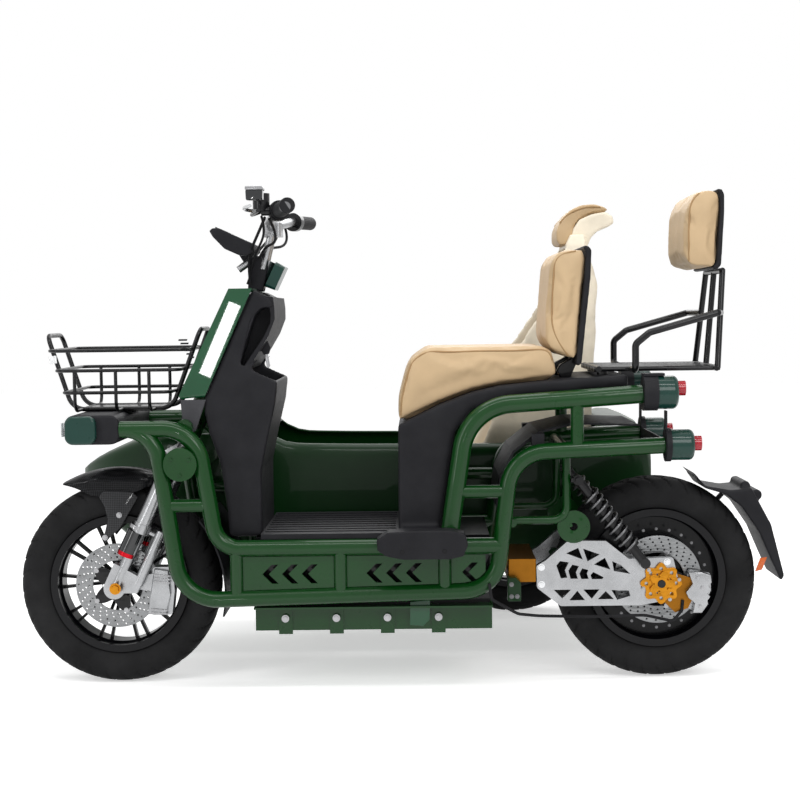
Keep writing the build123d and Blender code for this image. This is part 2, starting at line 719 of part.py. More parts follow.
# Battery in an open tray that hangs between the lower loops
tray_front_x = -304
tray_rear_x = 244
tray_half_y = 158
tray_low_z = 146
tray_high_z = lower_rail_z - tube_dia / 2 - running_gap
flange_width = 40
strap_width = 32
strap_drop = 8
strap_first_x = -234
strap_pitch = 118
strap_count = 4
strap_bolt_dia = 16
with BuildPart() as battery_tray:
    block((tray_front_x, tray_rear_x), (-tray_half_y, tray_half_y), (tray_low_z, tray_high_z))
    block((tray_front_x + wall, tray_rear_x - wall), (-tray_half_y + wall, tray_half_y - wall),
          (tray_low_z + wall, tray_high_z + overrun), mode=Mode.SUBTRACT)
    for side in (-1, 1):
        block((tray_front_x, tray_rear_x), spread(side, tray_half_y, tray_half_y + flange_width),
              (tray_high_z - wall, tray_high_z))
        for index in range(strap_count):
            x = strap_first_x + index * strap_pitch
            block((x - strap_width / 2, x + strap_width / 2), spread(side, tray_half_y - wall, tray_half_y + wall),
                  (tray_low_z - strap_drop, tray_high_z))
            rod((x, side * tray_half_y, (tray_low_z + tray_high_z) / 2),
                (x, side * (tray_half_y + 3 * wall), (tray_low_z + tray_high_z) / 2), strap_bolt_dia)
finish(battery_tray, "battery_tray")
battery_half_y = tray_half_y - wall - running_gap
battery_high_z = step_rail_z + tube_dia / 2
with BuildPart() as battery:
    block((tray_front_x + wall + running_gap, tray_rear_x - wall - running_gap), (-battery_half_y, battery_half_y),
          (tray_low_z + wall + running_gap, battery_high_z))
finish(battery, "battery")

# Dark side panels in the lower bays, each with arrow cut-outs that point to the front
bay_end_x = 180
bay_toe_columns = [(0, 0.8), (20, 5), (35, 13), (48, 26)]
post_room = strut_dia / 2 + running_gap
bay_columns = [(post_xs[0] + post_room, post_xs[1] - post_room, 3), (post_xs[1] + post_room, post_xs[2] - post_room, 3),
               (post_xs[2] + post_room, bay_end_x, 1)]
panel_low_z = lower_rail_z + tube_dia / 2
panel_high_z = step_rail_z - tube_dia / 2 - running_gap
panel_thick = 7
panel_inner_y = frame_y - panel_thick / 2
arrow_pitch = 45
arrow_width = 15
arrow_lean = 22
arrow_height = 44


def rail_top(x):
    rise = (lower_rail_end_z - lower_rail_z) / (lower_rail_end_x - lower_foot_x)
    return lower_rail_z + rise * (x - lower_foot_x) + tube_dia / 2 + running_gap


with BuildPart() as panels:
    middle_z = (panel_low_z + panel_high_z) / 2
    for side in (-1, 1):
        panel_outer_y = panel_inner_y + panel_thick
        for bay_low, bay_high, arrows in bay_columns:
            toe = [(bay_high, rail_top(bay_high))]
            if bay_high == bay_end_x:
                toe = [(bay_high + ahead, rail_top(bay_high) + lift) for ahead, lift in bay_toe_columns]
            side_slab([(bay_low, rail_top(bay_low))] + toe + [(toe[-1][0], panel_high_z), (bay_low, panel_high_z)],
                      *spread(side, panel_inner_y, panel_outer_y))
            for index in range(arrows):
                x = (bay_low + toe[-1][0]) / 2 + (index - (arrows - 1) / 2) * arrow_pitch - arrow_width
                side_slab([(x, middle_z), (x + arrow_lean, middle_z + arrow_height / 2),
                           (x + arrow_lean + arrow_width, middle_z + arrow_height / 2), (x + arrow_width, middle_z),
                           (x + arrow_lean + arrow_width, middle_z - arrow_height / 2),
                           (x + arrow_lean, middle_z - arrow_height / 2)],
                          *spread(side, panel_inner_y - overrun, panel_outer_y + overrun), mode=Mode.SUBTRACT)
finish(panels, "side_panels")

# Footrest outside the left step rail
step_front_x = -23
step_rear_x = 187
step_low_z = 326
step_high_z = 392
step_out = 56
step_hole_dia = 16
step_hole_depth = 12
step_hole_xs = [45, 138]
step_y = frame_y + rear_tube_dia / 2 + running_gap
with BuildPart() as foot_step:
    block((step_front_x, step_rear_x), (-step_y - step_out, -step_y), (step_low_z, step_high_z))
    fillet(foot_step.edges().filter_by(Axis.Z).group_by(Axis.Y)[0], step_out / 2)
    fillet(foot_step.faces().sort_by(Axis.Z)[-1].edges(), shield_corner)
    for hole_x in step_hole_xs:
        hole_z = (step_low_z + step_high_z) / 2
        rod((hole_x, -step_y - step_out - overrun, hole_z), (hole_x, -step_y - step_out + step_hole_depth, hole_z),
            step_hole_dia, mode=Mode.SUBTRACT)
finish(foot_step, "foot_step")

# Seat body: a flank that narrows beside the rear hoop, a foot flange, and a tail above the rails
body_half_y = 168
body_start = (30, floor_low_z)
body_length = 530
body_height = 361
body_shares = [(0, 0), (0.004, 0.71), (0.19, 0.84), (0.33, 0.915), (0.45, 0.953), (0.71, 0.99), (1, 1.012), (1, 0.94),
               (0.5, 0.88), (0.32, 0.8), (0.25, 0.66), (0.2, 0.2), (0.18, 0)]
flange_high = 22
flange_out = 26
with BuildPart() as seat_body:
    side_slab(placed(body_shares, body_start, body_length, body_height), -body_half_y, body_half_y)
    fillet(seat_body.edges().filter_by(Axis.Y).group_by(Axis.X)[0], shield_corner / 2)
    block((body_start[0], body_start[0] + 0.18 * body_length), (-body_half_y - flange_out, body_half_y + flange_out),
          (body_start[1], body_start[1] + flange_high))
finish(seat_body, "seat_body")

seat_half_y = 152
seat_start = (33, 618)
seat_length = 370
seat_height = 178
seat_shares = [(0, 0.33), (0.065, 0.85), (0.17, 0.995), (0.914, 1), (0.976, 0.95), (1.003, 0.65)]
seat_rest = [(x, z + running_gap) for x, z in reversed(placed(body_shares[1:6], body_start, body_length, body_height))]
with BuildPart() as seat:
    side_slab(placed(seat_shares, seat_start, seat_length, seat_height) + seat_rest, -seat_half_y, seat_half_y)
finish(seat, "seat")

# Liner over the rear wheel, behind the side frames
rear_liner_half_y = 150
rear_liner_points = [(0.0, 0.0), (0.03, 0.35), (0.12, 0.66), (0.3, 0.9), (0.55, 1), (1, 0.97)]
rear_liner_start = (255, 430)
rear_liner_length = 330
rear_liner_height = 190
rear_liner_tab_x = (338, 366)
rear_liner_tab_z = (552, 598)
with BuildPart() as rear_liner:
    skin = placed(rear_liner_points, rear_liner_start, rear_liner_length, rear_liner_height)
    under = [(x + wall, z - wall) for x, z in reversed(skin)]
    side_slab(skin + under, -rear_liner_half_y, rear_liner_half_y)
    for side in (-1, 1):
        block(rear_liner_tab_x, spread(side, rear_liner_half_y - wall, frame_y - tube_dia / 2 - running_gap),
              rear_liner_tab_z)
finish(rear_liner, "rear_liner")

# Rider's backrest: pad, back shell and the cross tube that holds it
back_half_y = 158
back_start = (381, 766)
back_length = 88
back_height = 258
back_shares = [(0.2, 0.16), (0, 0.53), (0.06, 0.89), (0.22, 0.98), (1, 1), (0.86, 0.0), (0.5, 0.0), (0.36, 0.06)]
shell_thick = 12
back_tube_x = 424
back_tube_z = 735.4
back_tube_dia = 25
back_bracket = 30
back_bracket_y = 70
with BuildPart() as driver_backrest:
    side_slab(placed(back_shares, back_start, back_length, back_height), -back_half_y, back_half_y)
finish(driver_backrest, "rider_backrest")
with BuildPart() as back_shell:
    shell_shares = [(1, 1), (0.86, 0)]
    (top_x, top_z), (low_x, low_z) = placed(shell_shares, back_start, back_length, back_height)
    side_slab([(top_x + running_gap, top_z), (top_x + shell_thick, top_z - shell_thick / 2),
               (low_x + shell_thick, low_z - shell_thick), (low_x - shell_thick, low_z - shell_thick),
               (low_x - shell_thick, low_z - running_gap), (low_x + running_gap, low_z - running_gap)],
              -back_half_y, back_half_y)
    rod((back_tube_x, -back_half_y, back_tube_z), (back_tube_x, back_half_y, back_tube_z), back_tube_dia)
    for side in (-1, 1):
        side_slab([(back_tube_x - back_tube_dia / 4, back_tube_z), (back_tube_x, back_tube_z - back_tube_dia / 2),
                   (low_x + shell_thick, low_z - shell_thick), (low_x - shell_thick, low_z - shell_thick / 2)],
                  side * back_bracket_y - back_bracket / 2, side * back_bracket_y + back_bracket / 2)
finish(back_shell, "rider_backrest_shell")

# Luggage rack: a slatted platform that rises to the tail, two arm loops and the back stays
rack_front_x = 494
rack_rear_x = 764
rack_half_y = 150
arm_y = 196
arm_dia = 16
stay_dia = 14
slat_count = 9
arm_foot_x = 572
arm_knee_z = 800
arm_bend_x = 604
arm_bend_z = 826
arm_top_z = 868
stay_foot_y = 144
stay_head_y = 102
stay_head_x = 786
stay_head_z = 965
rack_z = 742
slat_dia = 12
slat_half_y = 134
foot_dia = 26
with BuildPart() as rack:
    for x in (rack_front_x, rack_rear_x):
        rod((x, -rack_half_y, rack_z), (x, rack_half_y, rack_z), stay_dia)
    for index in range(slat_count):
        y = (2 * index / (slat_count - 1) - 1) * slat_half_y
        rod((rack_front_x - stay_dia / 2 - sheet, y, rack_z), (rack_rear_x + stay_dia / 2 + sheet, y, rack_z), slat_dia)
    for side in (-1, 1):
        bent_tube([(arm_foot_x, side * (slat_half_y - sheet), rack_z), (arm_foot_x, side * arm_y, rack_z),
                   (arm_foot_x, side * arm_y, arm_knee_z), (arm_bend_x, side * arm_y, arm_bend_z),
                   (rack_rear_x - stay_dia / 2, side * arm_y, arm_top_z)], [arm_dia, arm_dia, arm_dia], arm_dia)
        stay_share = (arm_top_z - rack_z) / (stay_head_z - rack_z)
        stay_x = rack_rear_x + sheet + (stay_head_x - rack_rear_x - sheet) * stay_share
        stay_y = side * (stay_foot_y + (stay_head_y - stay_foot_y) * stay_share)
        rod((rack_rear_x - stay_dia / 2, side * arm_y, arm_top_z), (stay_x, stay_y, arm_top_z), arm_dia)
        rod((rack_rear_x + sheet, side * stay_foot_y, rack_z), (stay_head_x, side * stay_head_y, stay_head_z), stay_dia)
        foot_y = side * slat_half_y * (slat_count - 3) / (slat_count - 1)
        body_top = body_start[1] + body_height * 1.007
        rod((rack_front_x + stay_dia, foot_y, body_top + running_gap), (rack_front_x + stay_dia, foot_y, rack_z + sheet), foot_dia)
    rod((stay_head_x, -stay_head_y, stay_head_z), (stay_head_x, stay_head_y, stay_head_z), stay_dia)
    rod((rack_rear_x + sheet, 0, rack_z), (stay_head_x, 0, stay_head_z), stay_dia)
finish(rack, "rack")

pad_half_y = 130
pad_start = (699, 976)
pad_length = 66
pad_height = 178
pad_shares = [(0.06, 0.79), (0.16, 0.91), (0.7, 1), (0.98, 0.98), (0.84, 0), (0.16, 0.01), (0, 0.14)]
with BuildPart() as upper_pad:
    side_slab(placed(pad_shares, pad_start, pad_length, pad_height), -pad_half_y, pad_half_y)
finish(upper_pad, "upper_backrest")
with BuildPart() as upper_shell:
    (top_x, top_z), (low_x, low_z) = placed([(0.98, 0.98), (0.84, 0)], pad_start, pad_length, pad_height)
    side_slab([(top_x + running_gap, top_z), (top_x + 1.5 * shell_thick, top_z - sheet),
               (stay_head_x, stay_head_z + stay_dia / 2 + running_gap), (low_x + sheet, stay_head_z + stay_dia / 2 + running_gap),
               (low_x + running_gap, low_z)], -pad_half_y, pad_half_y)
finish(upper_shell, "upper_backrest_shell")

# Tail lamps: an upper and a lower pod on each side, on the open ends of the rails
pod_upper_dia = 76
pod_lower_dia = 70
coupling_upper = 32
coupling_lower = 12
cap_upper = 46
cap_lower = 52
tail_lens_dia = 34
tail_lens_long = 17
end_gap = 1.07
upper_pod_z = 690
lower_pod_z = 571
pod_columns = [(tail_top_x, upper_pod_z, coupling_upper, cap_upper, pod_upper_dia, 15),
               (tail_x, lower_pod_z, coupling_lower, cap_lower, pod_lower_dia, 5)]
with BuildPart() as tail_couplings:
    for side in (-1, 1):
        for x, z, coupling, cap, dia, rise in pod_columns:
            y = side * frame_y
            rod((x + end_gap, y, z), (x + end_gap + coupling, y, z), dia + 2 * sheet)
            if coupling > coupling_lower:
                block((x + end_gap, x + end_gap + coupling + cap / 3), (y - dia / 4, y + dia / 4),
                      (z + dia / 2 + running_gap, z + dia / 2 + 2 * sheet))
    # black cross plate that ties the pods to each other behind the tail
    block((tail_x + end_gap, tail_x + end_gap + wall), (-frame_y, frame_y), (lower_pod_z - 3 * wall, lower_pod_z + 3 * wall))
    for side in (-1, 1):
        block((tail_x + end_gap, tail_x + end_gap + wall), (side * frame_y - 3 * wall, side * frame_y + 3 * wall),
              (lower_pod_z, upper_pod_z - pod_upper_dia / 2 - running_gap - sheet))
finish(tail_couplings, "tail_lamp_couplings")
with BuildPart() as tail_caps:
    for side in (-1, 1):
        for x, z, coupling, cap, dia, rise in pod_columns:
            start = x + end_gap + coupling + running_gap
            rod((start, side * frame_y, z), (start + cap, side * frame_y, z), dia)
    fillet(tail_caps.edges().filter_by(GeomType.CIRCLE).group_by(Axis.X)[-1], pod_lower_dia / 6)
    upper_rims = [e for e in tail_caps.edges().filter_by(GeomType.CIRCLE)
                  if abs(e.center().X - (tail_top_x + end_gap + coupling_upper + running_gap + cap_upper)) < sheet]
    fillet(upper_rims, pod_upper_dia / 6)
finish(tail_caps, "tail_lamp_caps")
with BuildPart() as tail_lenses:
    for side in (-1, 1):
        for x, z, coupling, cap, dia, rise in pod_columns:
            start = x + end_gap + coupling + cap + 2 * running_gap
            rod((start, side * frame_y, z + rise * 0.6), (start + tail_lens_long, side * frame_y, z + rise * 0.6), tail_lens_dia)
finish(tail_lenses, "tail_lamp_lenses")

# Rear arms: machined plates with a truss of windows, bolted to the pivot beam
arm_plate_y = 108
arm_thick = 20
arm_start = (350, 188)
arm_length = 332
arm_height = 154
arm_shares = [(0, 0.62), (0.006, 0.28), (0.17, 0), (0.73, 0), (0.91, 0.07), (1, 0.36), (0.96, 0.73), (0.65, 0.71),
              (0.49, 0.99), (0.225, 1), (0.065, 0.7)]
arm_corner = 7
# windows of the truss, as outlines in shares of the plate: upper, middle and lower row
window_shares = [
    [(0.209, 0.807), (0.295, 0.889), (0.327, 0.71)],
    [(0.329, 0.877), (0.446, 0.784), (0.36, 0.68)],
    [(0.405, 0.633), (0.482, 0.733), (0.52, 0.552)],
    [(0.533, 0.68), (0.593, 0.62), (0.66, 0.483), (0.545, 0.529)],
    [(0.141, 0.622), (0.167, 0.691), (0.228, 0.668), (0.202, 0.552), (0.217, 0.436), (0.172, 0.425)],
    [(0.225, 0.541), (0.253, 0.633), (0.299, 0.61), (0.278, 0.517), (0.291, 0.418), (0.24, 0.418)],
    [(0.302, 0.494), (0.322, 0.575), (0.365, 0.548), (0.355, 0.494), (0.368, 0.413), (0.316, 0.413)],
    [(0.38, 0.471), (0.4, 0.517), (0.472, 0.436), (0.463, 0.408), (0.39, 0.408)],
    [(0.121, 0.251), (0.243, 0.251), (0.182, 0.116)],
    [(0.287, 0.232), (0.341, 0.088), (0.231, 0.088)],
    [(0.329, 0.251), (0.443, 0.251), (0.388, 0.107)],
    [(0.487, 0.223), (0.543, 0.1), (0.431, 0.1)],
    [(0.527, 0.239), (0.649, 0.227), (0.66, 0.146), (0.568, 0.088)],
]
beam_rear_x = arm_start[0] - running_gap
arm_foot = 10
with BuildPart() as swingarm:
    for side in (-1, 1):
        inner, outer = side * (arm_plate_y - arm_thick / 2), side * (arm_plate_y + arm_thick / 2)
        side_slab(placed(arm_shares, arm_start, arm_length, arm_height), min(inner, outer), max(inner, outer), arm_corner)
        for window in window_shares:
            side_slab(placed(window, arm_start, arm_length, arm_height), min(inner, outer) - overrun,
                      max(inner, outer) + overrun, mode=Mode.SUBTRACT)
        rod((rear_x, side * (motor_width / 2 + running_gap), axle_z), (rear_x, outer + side * (arm_foot - sheet), axle_z), axle_dia)
finish(swingarm, "swingarm")
beam_front_x = 284
beam_low_z = 246
beam_high_z = 300
bracket_thick = 12
bracket_points = [(258, 190), (318, 190), (322, 240), (290, 262), (258, 262)]
with BuildPart() as beam:
    block((beam_front_x, beam_rear_x), (-arm_plate_y - arm_thick / 2, arm_plate_y + arm_thick / 2), (beam_low_z, beam_high_z), sheet)
finish(beam, "pivot_beam")

# Hub cover: a gold star of seven loops round the left axle nut
star_dia = 62
star_lobe = 24
star_reach = 38
star_thick = 9
star_arms = 7
with BuildPart() as hub_cover:
    star_plane = Plane(origin=(rear_x, -arm_plate_y - arm_thick / 2 - running_gap, axle_z), x_dir=(1, 0, 0), z_dir=(0, -1, 0))
    with BuildSketch(star_plane) as star:
        Circle(star_dia / 2)
        with PolarLocations(star_reach, star_arms):
            Circle(star_lobe / 2)
        with PolarLocations(star_reach, star_arms):
            Circle(star_lobe / 4, mode=Mode.SUBTRACT)
        Circle(axle_dia / 2 + running_gap, mode=Mode.SUBTRACT)
    extrude(star.sketch, amount=star_thick)
    with BuildSketch(star_plane.offset(star_thick)) as nut:
        Circle(axle_nut_dia / 2)
    extrude(nut.sketch, amount=star_thick / 2)
finish(hub_cover, "hub_cover")

# Rear shocks: a damper inside a coil, drawn as stacked rings
shock_y = arm_plate_y + arm_thick / 2 + 20
shock_top = (446, 487)
shock_foot = (600, 291)
shock_body_dia = 22
coil_dia = 38
coil_wire = 7
coil_turns = 9
eye_dia = 24
shock_lug_x = 429.8
with BuildPart() as shocks:
    for side in (-1, 1):
        y = side * shock_y
        rod((shock_top[0], y, shock_top[1]), (shock_foot[0], y, shock_foot[1]), shock_body_dia)
        for index in range(coil_turns):
            share = 0.2 + 0.6 * index / (coil_turns - 1)
            x = shock_top[0] + (shock_foot[0] - shock_top[0]) * share
            z = shock_top[1] + (shock_foot[1] - shock_top[1]) * share
            step = coil_wire / 2 / math.dist(shock_top, shock_foot)
            dx = (shock_foot[0] - shock_top[0]) * step
            dz = (shock_foot[1] - shock_top[1]) * step
            rod((x - dx, y, z - dz), (x + dx, y, z + dz), coil_dia)
        for x, z in (shock_top, shock_foot):
            rod((x, y - eye_dia / 2, z), (x, y + eye_dia / 2, z), eye_dia)
        # pins to the frame above and to the arm below
        rod((shock_top[0], y, shock_top[1]), (shock_lug_x, y, shock_top[1]), axle_dia)
        rod((shock_top[0], y, shock_top[1]), (shock_top[0], side * (frame_y - tube_dia), shock_top[1]), axle_dia)
        rod((shock_foot[0], side * (arm_plate_y + arm_thick / 2 + running_gap), shock_foot[1]), (shock_foot[0], y, shock_foot[1]), axle_dia)
finish(shocks, "rear_shocks")

rear_caliper_shares = [(0.3, 1), (0.98, 0.92), (1, 0.5), (0.8, 0.2), (0.5, 0), (0, 0.2)]
rear_caliper_start = (688, 166)
rear_caliper_length = 74
rear_caliper_height = 100
rear_caliper = caliper(placed(rear_caliper_shares, rear_caliper_start, rear_caliper_length, rear_caliper_height), rear_x,
                       rear_disc_y, rear_disc_dia, caliper_half_y, caliper_corner)
finish(rear_caliper, "rear_caliper")
bracket_shares = [(0, 0.7), (0.25, 0.95), (0.8, 0.75), (0.55, 0.1), (0.3, 0), (0.05, 0.3)]
with BuildPart() as caliper_bracket:
    face_y = rear_disc_y - caliper_half_y - running_gap
    side_slab(placed(bracket_shares, (rear_x, rear_caliper_start[1]), rear_caliper_length + rear_caliper_start[0] - rear_x,
                     rear_caliper_height), face_y - 2 * wall + running_gap, face_y)
    rod((rear_x, face_y - 2 * wall + running_gap, axle_z), (rear_x, face_y, axle_z), star_dia)
    rod((rear_x, face_y - 3 * wall, axle_z), (rear_x, face_y + overrun, axle_z), axle_dia + 2 * running_gap, mode=Mode.SUBTRACT)
finish(caliper_bracket, "caliper_bracket")

# Brake hose along the left arm, from a fitting on the left frame's lower rail to the rear caliper
hose_dia = 7
hose_points = [(235, -222.8, 262), (240, -225, 226), (300, -215, 190), (352, -150, 172), (470, -136, 166), (600, -134, 168),
               (668, -120, 150), (692, -101.8, 172), (694, -101.8, 196)]
hose_bends = [14, 28, 40, 60, 60, 20, 8]
with BuildPart() as brake_hose:
    bent_tube(hose_points, hose_bends, hose_dia)
finish(brake_hose, "rear_brake_hose")

# Rear mudguard behind the tyre, held by an arm from the right end of the axle
blade_half_y = 78
blade_start = (715, 233)
blade_length = 223
blade_height = 272
blade_shares = [(0, 1), (0.17, 0.84), (0.44, 0.8), (0.65, 0.82), (0.86, 0.5), (1, 0.05), (0.965, 0), (0.86, 0.19),
                (0.735, 0.43), (0.55, 0.655), (0.38, 0.765), (0.16, 0.82)]
hump_columns = [(0.6, 0.83, 24), (0.72, 0.75, 26)]
with BuildPart() as rear_guard:
    side_slab(placed(blade_shares, blade_start, blade_length, blade_height), -blade_half_y, blade_half_y)
    for share_x, share_z, dia in hump_columns:
        (x, z), = placed([(share_x, share_z)], blade_start, blade_length, blade_height)
        rod((x, -blade_half_y * 0.8, z), (x, blade_half_y * 0.8, z), dia)
    guard_y = arm_plate_y + arm_thick / 2 + running_gap
    bent_tube([(rear_x + axle_nut_dia, guard_y + stay_dia / 2, axle_z), (rear_x + 200, guard_y + stay_dia / 2, axle_z + 190),
               (rear_x + 200, blade_half_y - stay_dia, axle_z + 190)], [stay_dia], stay_dia)
finish(rear_guard, "rear_mudguard")

# Front basket: two hoops in line, three rings, ribs and a floor plate, on a plate above the lamp bar
hoop_y = 72
hoop_dia = 11
ring_dia = 8
basket_middle_x = -617
basket_floor_z = lamp_high_z + running_gap + hoop_dia / 2
basket_front_top = (-790, 834)
basket_rear_top = (-430, 846)
basket_front_low_x = -735
basket_rear_low_x = -500
basket_half_y = 150
ring_columns = [(800, -772, -452), (754, -757, -470), (703, -741, -492)]
rib_xs = [-712, -617, -540]
ring_bend = 25
hoop_bend_low = 40
with BuildPart() as basket:
    for top, low_x in ((basket_front_top, basket_front_low_x), (basket_rear_top, basket_rear_low_x)):
        bent_tube([(basket_middle_x, -hoop_y, basket_floor_z), (low_x, -hoop_y, basket_floor_z), (top[0], -hoop_y, top[1]),
                   (top[0], hoop_y, top[1]), (low_x, hoop_y, basket_floor_z), (basket_middle_x, hoop_y, basket_floor_z)],
                  [hoop_bend_low, 2 * hoop_dia, 2 * hoop_dia, hoop_bend_low], hoop_dia)
    for z, ring_front_x, ring_rear_x in ring_columns:
        for x in (ring_front_x, ring_rear_x):
            bent_tube([(basket_middle_x, -basket_half_y, z), (x, -basket_half_y, z), (x, basket_half_y, z),
                       (basket_middle_x, basket_half_y, z)], [ring_bend, ring_bend], ring_dia)
    for x in rib_xs:
        bent_tube([(x, -basket_half_y, ring_columns[1][0]), (x, -basket_half_y, basket_floor_z),
                   (x, basket_half_y, basket_floor_z), (x, basket_half_y, ring_columns[1][0])],
                  [ring_bend, ring_bend], ring_dia)
    block((basket_front_low_x + ring_bend, basket_rear_low_x - ring_bend), (-hoop_y, hoop_y),
          (basket_floor_z, basket_floor_z + sheet))
finish(basket, "basket")

# Sidecar tub: a hull with a pointed nose, cut open for the passenger
tub_near = 250
tub_far = 730
tub_middle = (tub_near + tub_far) / 2
tub_low_z = 200
rim_z = 533
nose_x = -836
tub_tail_x = 683
tub_length = tub_tail_x - nose_x
tub_height = 620 - tub_low_z
tub_shares = [(0, 0.62), (0.062, 0.775), (0.18, 0.93), (0.33, 1), (0.395, 0.79), (0.83, 0.79), (0.87, 0.96), (0.96, 0.97),
              (1, 0.72), (0.998, 0.25), (0.95, 0), (0.25, 0), (0.16, 0.26)]
plan_shares = [(0, 0.42), (0, 0.58), (0.1, 0.86), (0.24, 1), (0.95, 1), (1, 0.9), (1, 0.1), (0.95, 0), (0.24, 0), (0.1, 0.14)]
cockpit_front_x = -236
cockpit_rear_x = 532
tub_edge = 16


def hull(inset):
    length = tub_length - 2 * inset
    height = tub_height - 2 * inset
    width = tub_far - tub_near - 2 * inset
    with BuildPart() as body:
        with BuildSketch(side_plane(tub_middle)):
            with BuildLine():
                Polyline(*placed(tub_shares, (nose_x + inset, tub_low_z + inset), length, height), close=True)
            make_face()
        extrude(amount=tub_far - tub_near, both=True)
        with BuildSketch(Plane.XY.offset(tub_low_z)):
            with BuildLine():
                Polyline(*placed(plan_shares, (nose_x + inset, tub_near + inset), length, width), close=True)
            make_face()
        extrude(amount=tub_height, mode=Mode.INTERSECT)
    return body.part


with BuildPart() as tub:
    add(hull(0))
    top_edges = tub.edges().filter_by_position(Axis.Z, tub_low_z + tub_height * 0.6, tub_low_z + 2 * tub_height)
    add(hull(wall), mode=Mode.SUBTRACT)
    block((cockpit_front_x, cockpit_rear_x), (tub_near + 4 * wall, tub_far - 4 * wall),
          (rim_z - 10 * wall, tub_low_z + 2 * tub_height), mode=Mode.SUBTRACT)
finish(tub, "sidecar_tub")

# Passenger seat: a tall shell with side wings, one body of cushions inside it, and a headrest
shell_y = 495
shell_half_low = 176
shell_half_high = 100
shell_start = (150, tub_low_z + wall + running_gap)
shell_length = 455
shell_height = 900
shell_skin = 12
shell_shares = [(0.04, 0), (0, 0.2), (0.22, 0.38), (0.41, 0.64), (0.615, 0.774), (0.67, 0.94), (0.74, 1), (1, 1),
                (0.9, 0.925), (0.903, 0.772), (0.86, 0.635), (0.82, 0.3), (0.8, 0)]
cushion_shares = [(0.06, 0.018), (0.03, 0.19), (0.1, 0.235), (0.56, 0.215), (0.62, 0.38), (0.7, 0.62), (0.74, 0.79),
                  (0.775, 0.915), (0.84, 0.915), (0.86, 0.77), (0.815, 0.62), (0.775, 0.3), (0.76, 0.018)]
front_shares = [(0, 0), (0, 0.42), (0.1, 0.75), (0.215, 1), (0.785, 1), (0.9, 0.75), (1, 0.42), (1, 0)]


def seat_form(shares, half_width, start, length, height):
    with BuildPart() as form:
        with BuildSketch(side_plane(shell_y)):
            with BuildLine():
                Polyline(*placed(shares, start, length, height), close=True)
            make_face()
        extrude(amount=half_width, both=True)
        with BuildSketch(Plane.YZ.offset(start[0] - overrun)):
            with BuildLine():
                Polyline(*placed(front_shares, (shell_y - half_width, start[1]), 2 * half_width, height), close=True)
            make_face()
        extrude(amount=length + 2 * overrun, mode=Mode.INTERSECT)
    return form.part


cavity_shares = [(-0.1, 0.0133), (-0.1, 0.93), (0.77, 0.93), (0.852, 0.925), (0.872, 0.77), (0.827, 0.62), (0.787, 0.3),
                 (0.772, 0.0133)]
with BuildPart() as seat_shell:
    add(seat_form(shell_shares, shell_half_low, shell_start, shell_length, shell_height))
    add(seat_form(cavity_shares, shell_half_low - shell_skin, shell_start, shell_length, shell_height), mode=Mode.SUBTRACT)
finish(seat_shell, "sidecar_seat_shell")
with BuildPart() as sidecar_seat:
    add(seat_form(cushion_shares, shell_half_low - shell_skin - running_gap, shell_start, shell_length, shell_height))
finish(sidecar_seat, "sidecar_seat")
head_start = (448, shell_start[1] + shell_height + running_gap)
head_length = 144
head_height = 54
head_half_y = 85
head_shares = [(0, 0), (0.06, 0.35), (0.39, 0.72), (0.67, 1), (1, 0.7), (0.98, 0)]
with BuildPart() as headrest:
    side_slab(placed(head_shares, head_start, head_length, head_height), shell_y - head_half_y, shell_y + head_half_y)
finish(headrest, "sidecar_headrest")

# Sidecar chassis: two arms from the left frame's lower rail, a cross beam under the tub, and the stub axle
beam_size = 36
chassis_high_z = tub_low_z - running_gap
chassis_low_z = chassis_high_z - beam_size
arm_xs = [-210, 130]
clamp_far_y = tub_near - wall
stub_reach = 62
pivot_boss_dia = 46
with BuildPart() as sidecar_chassis:
    clamp_near_y = frame_y + tube_dia / 2 + running_gap
    for x in arm_xs:
        block((x - beam_size / 2, x + beam_size / 2), (clamp_near_y, tub_far), (chassis_low_z, chassis_high_z))
        block((x - beam_size / 2, x + beam_size / 2), (clamp_near_y, clamp_far_y),
              (chassis_low_z, lower_rail_z + tube_dia / 2))
    block((arm_xs[0] - beam_size / 2, sidecar_wheel_x + beam_size / 2), (tub_far - beam_size, tub_far),
          (chassis_low_z, chassis_high_z))
    trail_near_y = tub_far + running_gap
    side_slab([(arm_xs[-1] - beam_size, chassis_low_z), (arm_xs[-1] - beam_size, chassis_high_z + beam_size),
               (sidecar_wheel_x + beam_size, axle_z + beam_size / 2), (sidecar_wheel_x + beam_size, axle_z - beam_size / 2),
               (sidecar_wheel_x, chassis_low_z)], trail_near_y, trail_near_y + shell_skin)
    block((arm_xs[-1] - beam_size / 2, arm_xs[-1] + beam_size / 2), (tub_far - beam_size / 2, trail_near_y + shell_skin / 2),
          (chassis_low_z, chassis_high_z))
    rod((sidecar_wheel_x, trail_near_y + shell_skin / 2, axle_z), (sidecar_wheel_x, sidecar_wheel_y + stub_reach, axle_z),
        axle_dia)
finish(sidecar_chassis, "sidecar_chassis")

# Sidecar mudguard with two stays to the tub's wall
guard_gap = 26
guard_half_y = 70
with BuildPart() as sidecar_guard:
    arch(sidecar_wheel_x, tyre_dia / 2 + guard_gap, tyre_dia / 2 + guard_gap + wall, (0, 180),
         sidecar_wheel_y - guard_half_y, sidecar_wheel_y + guard_half_y)
    for degrees in (50, 130):
        x, z = polar(sidecar_wheel_x, tyre_dia / 2 + guard_gap + wall / 2, degrees)
        rod((x, tub_far + running_gap, z), (x, sidecar_wheel_y, z), 2 * wall)
finish(sidecar_guard, "sidecar_mudguard")

front_reach = -880
rear_reach = 938
left_reach = -351.8
right_reach = 886
home = Location((-(front_reach + rear_reach) / 2, -(left_reach + right_reach) / 2, 0))
os.makedirs("parts", exist_ok=True)
for piece in pieces:
    export_step(piece.moved(home), f"parts/{piece.label}.step")
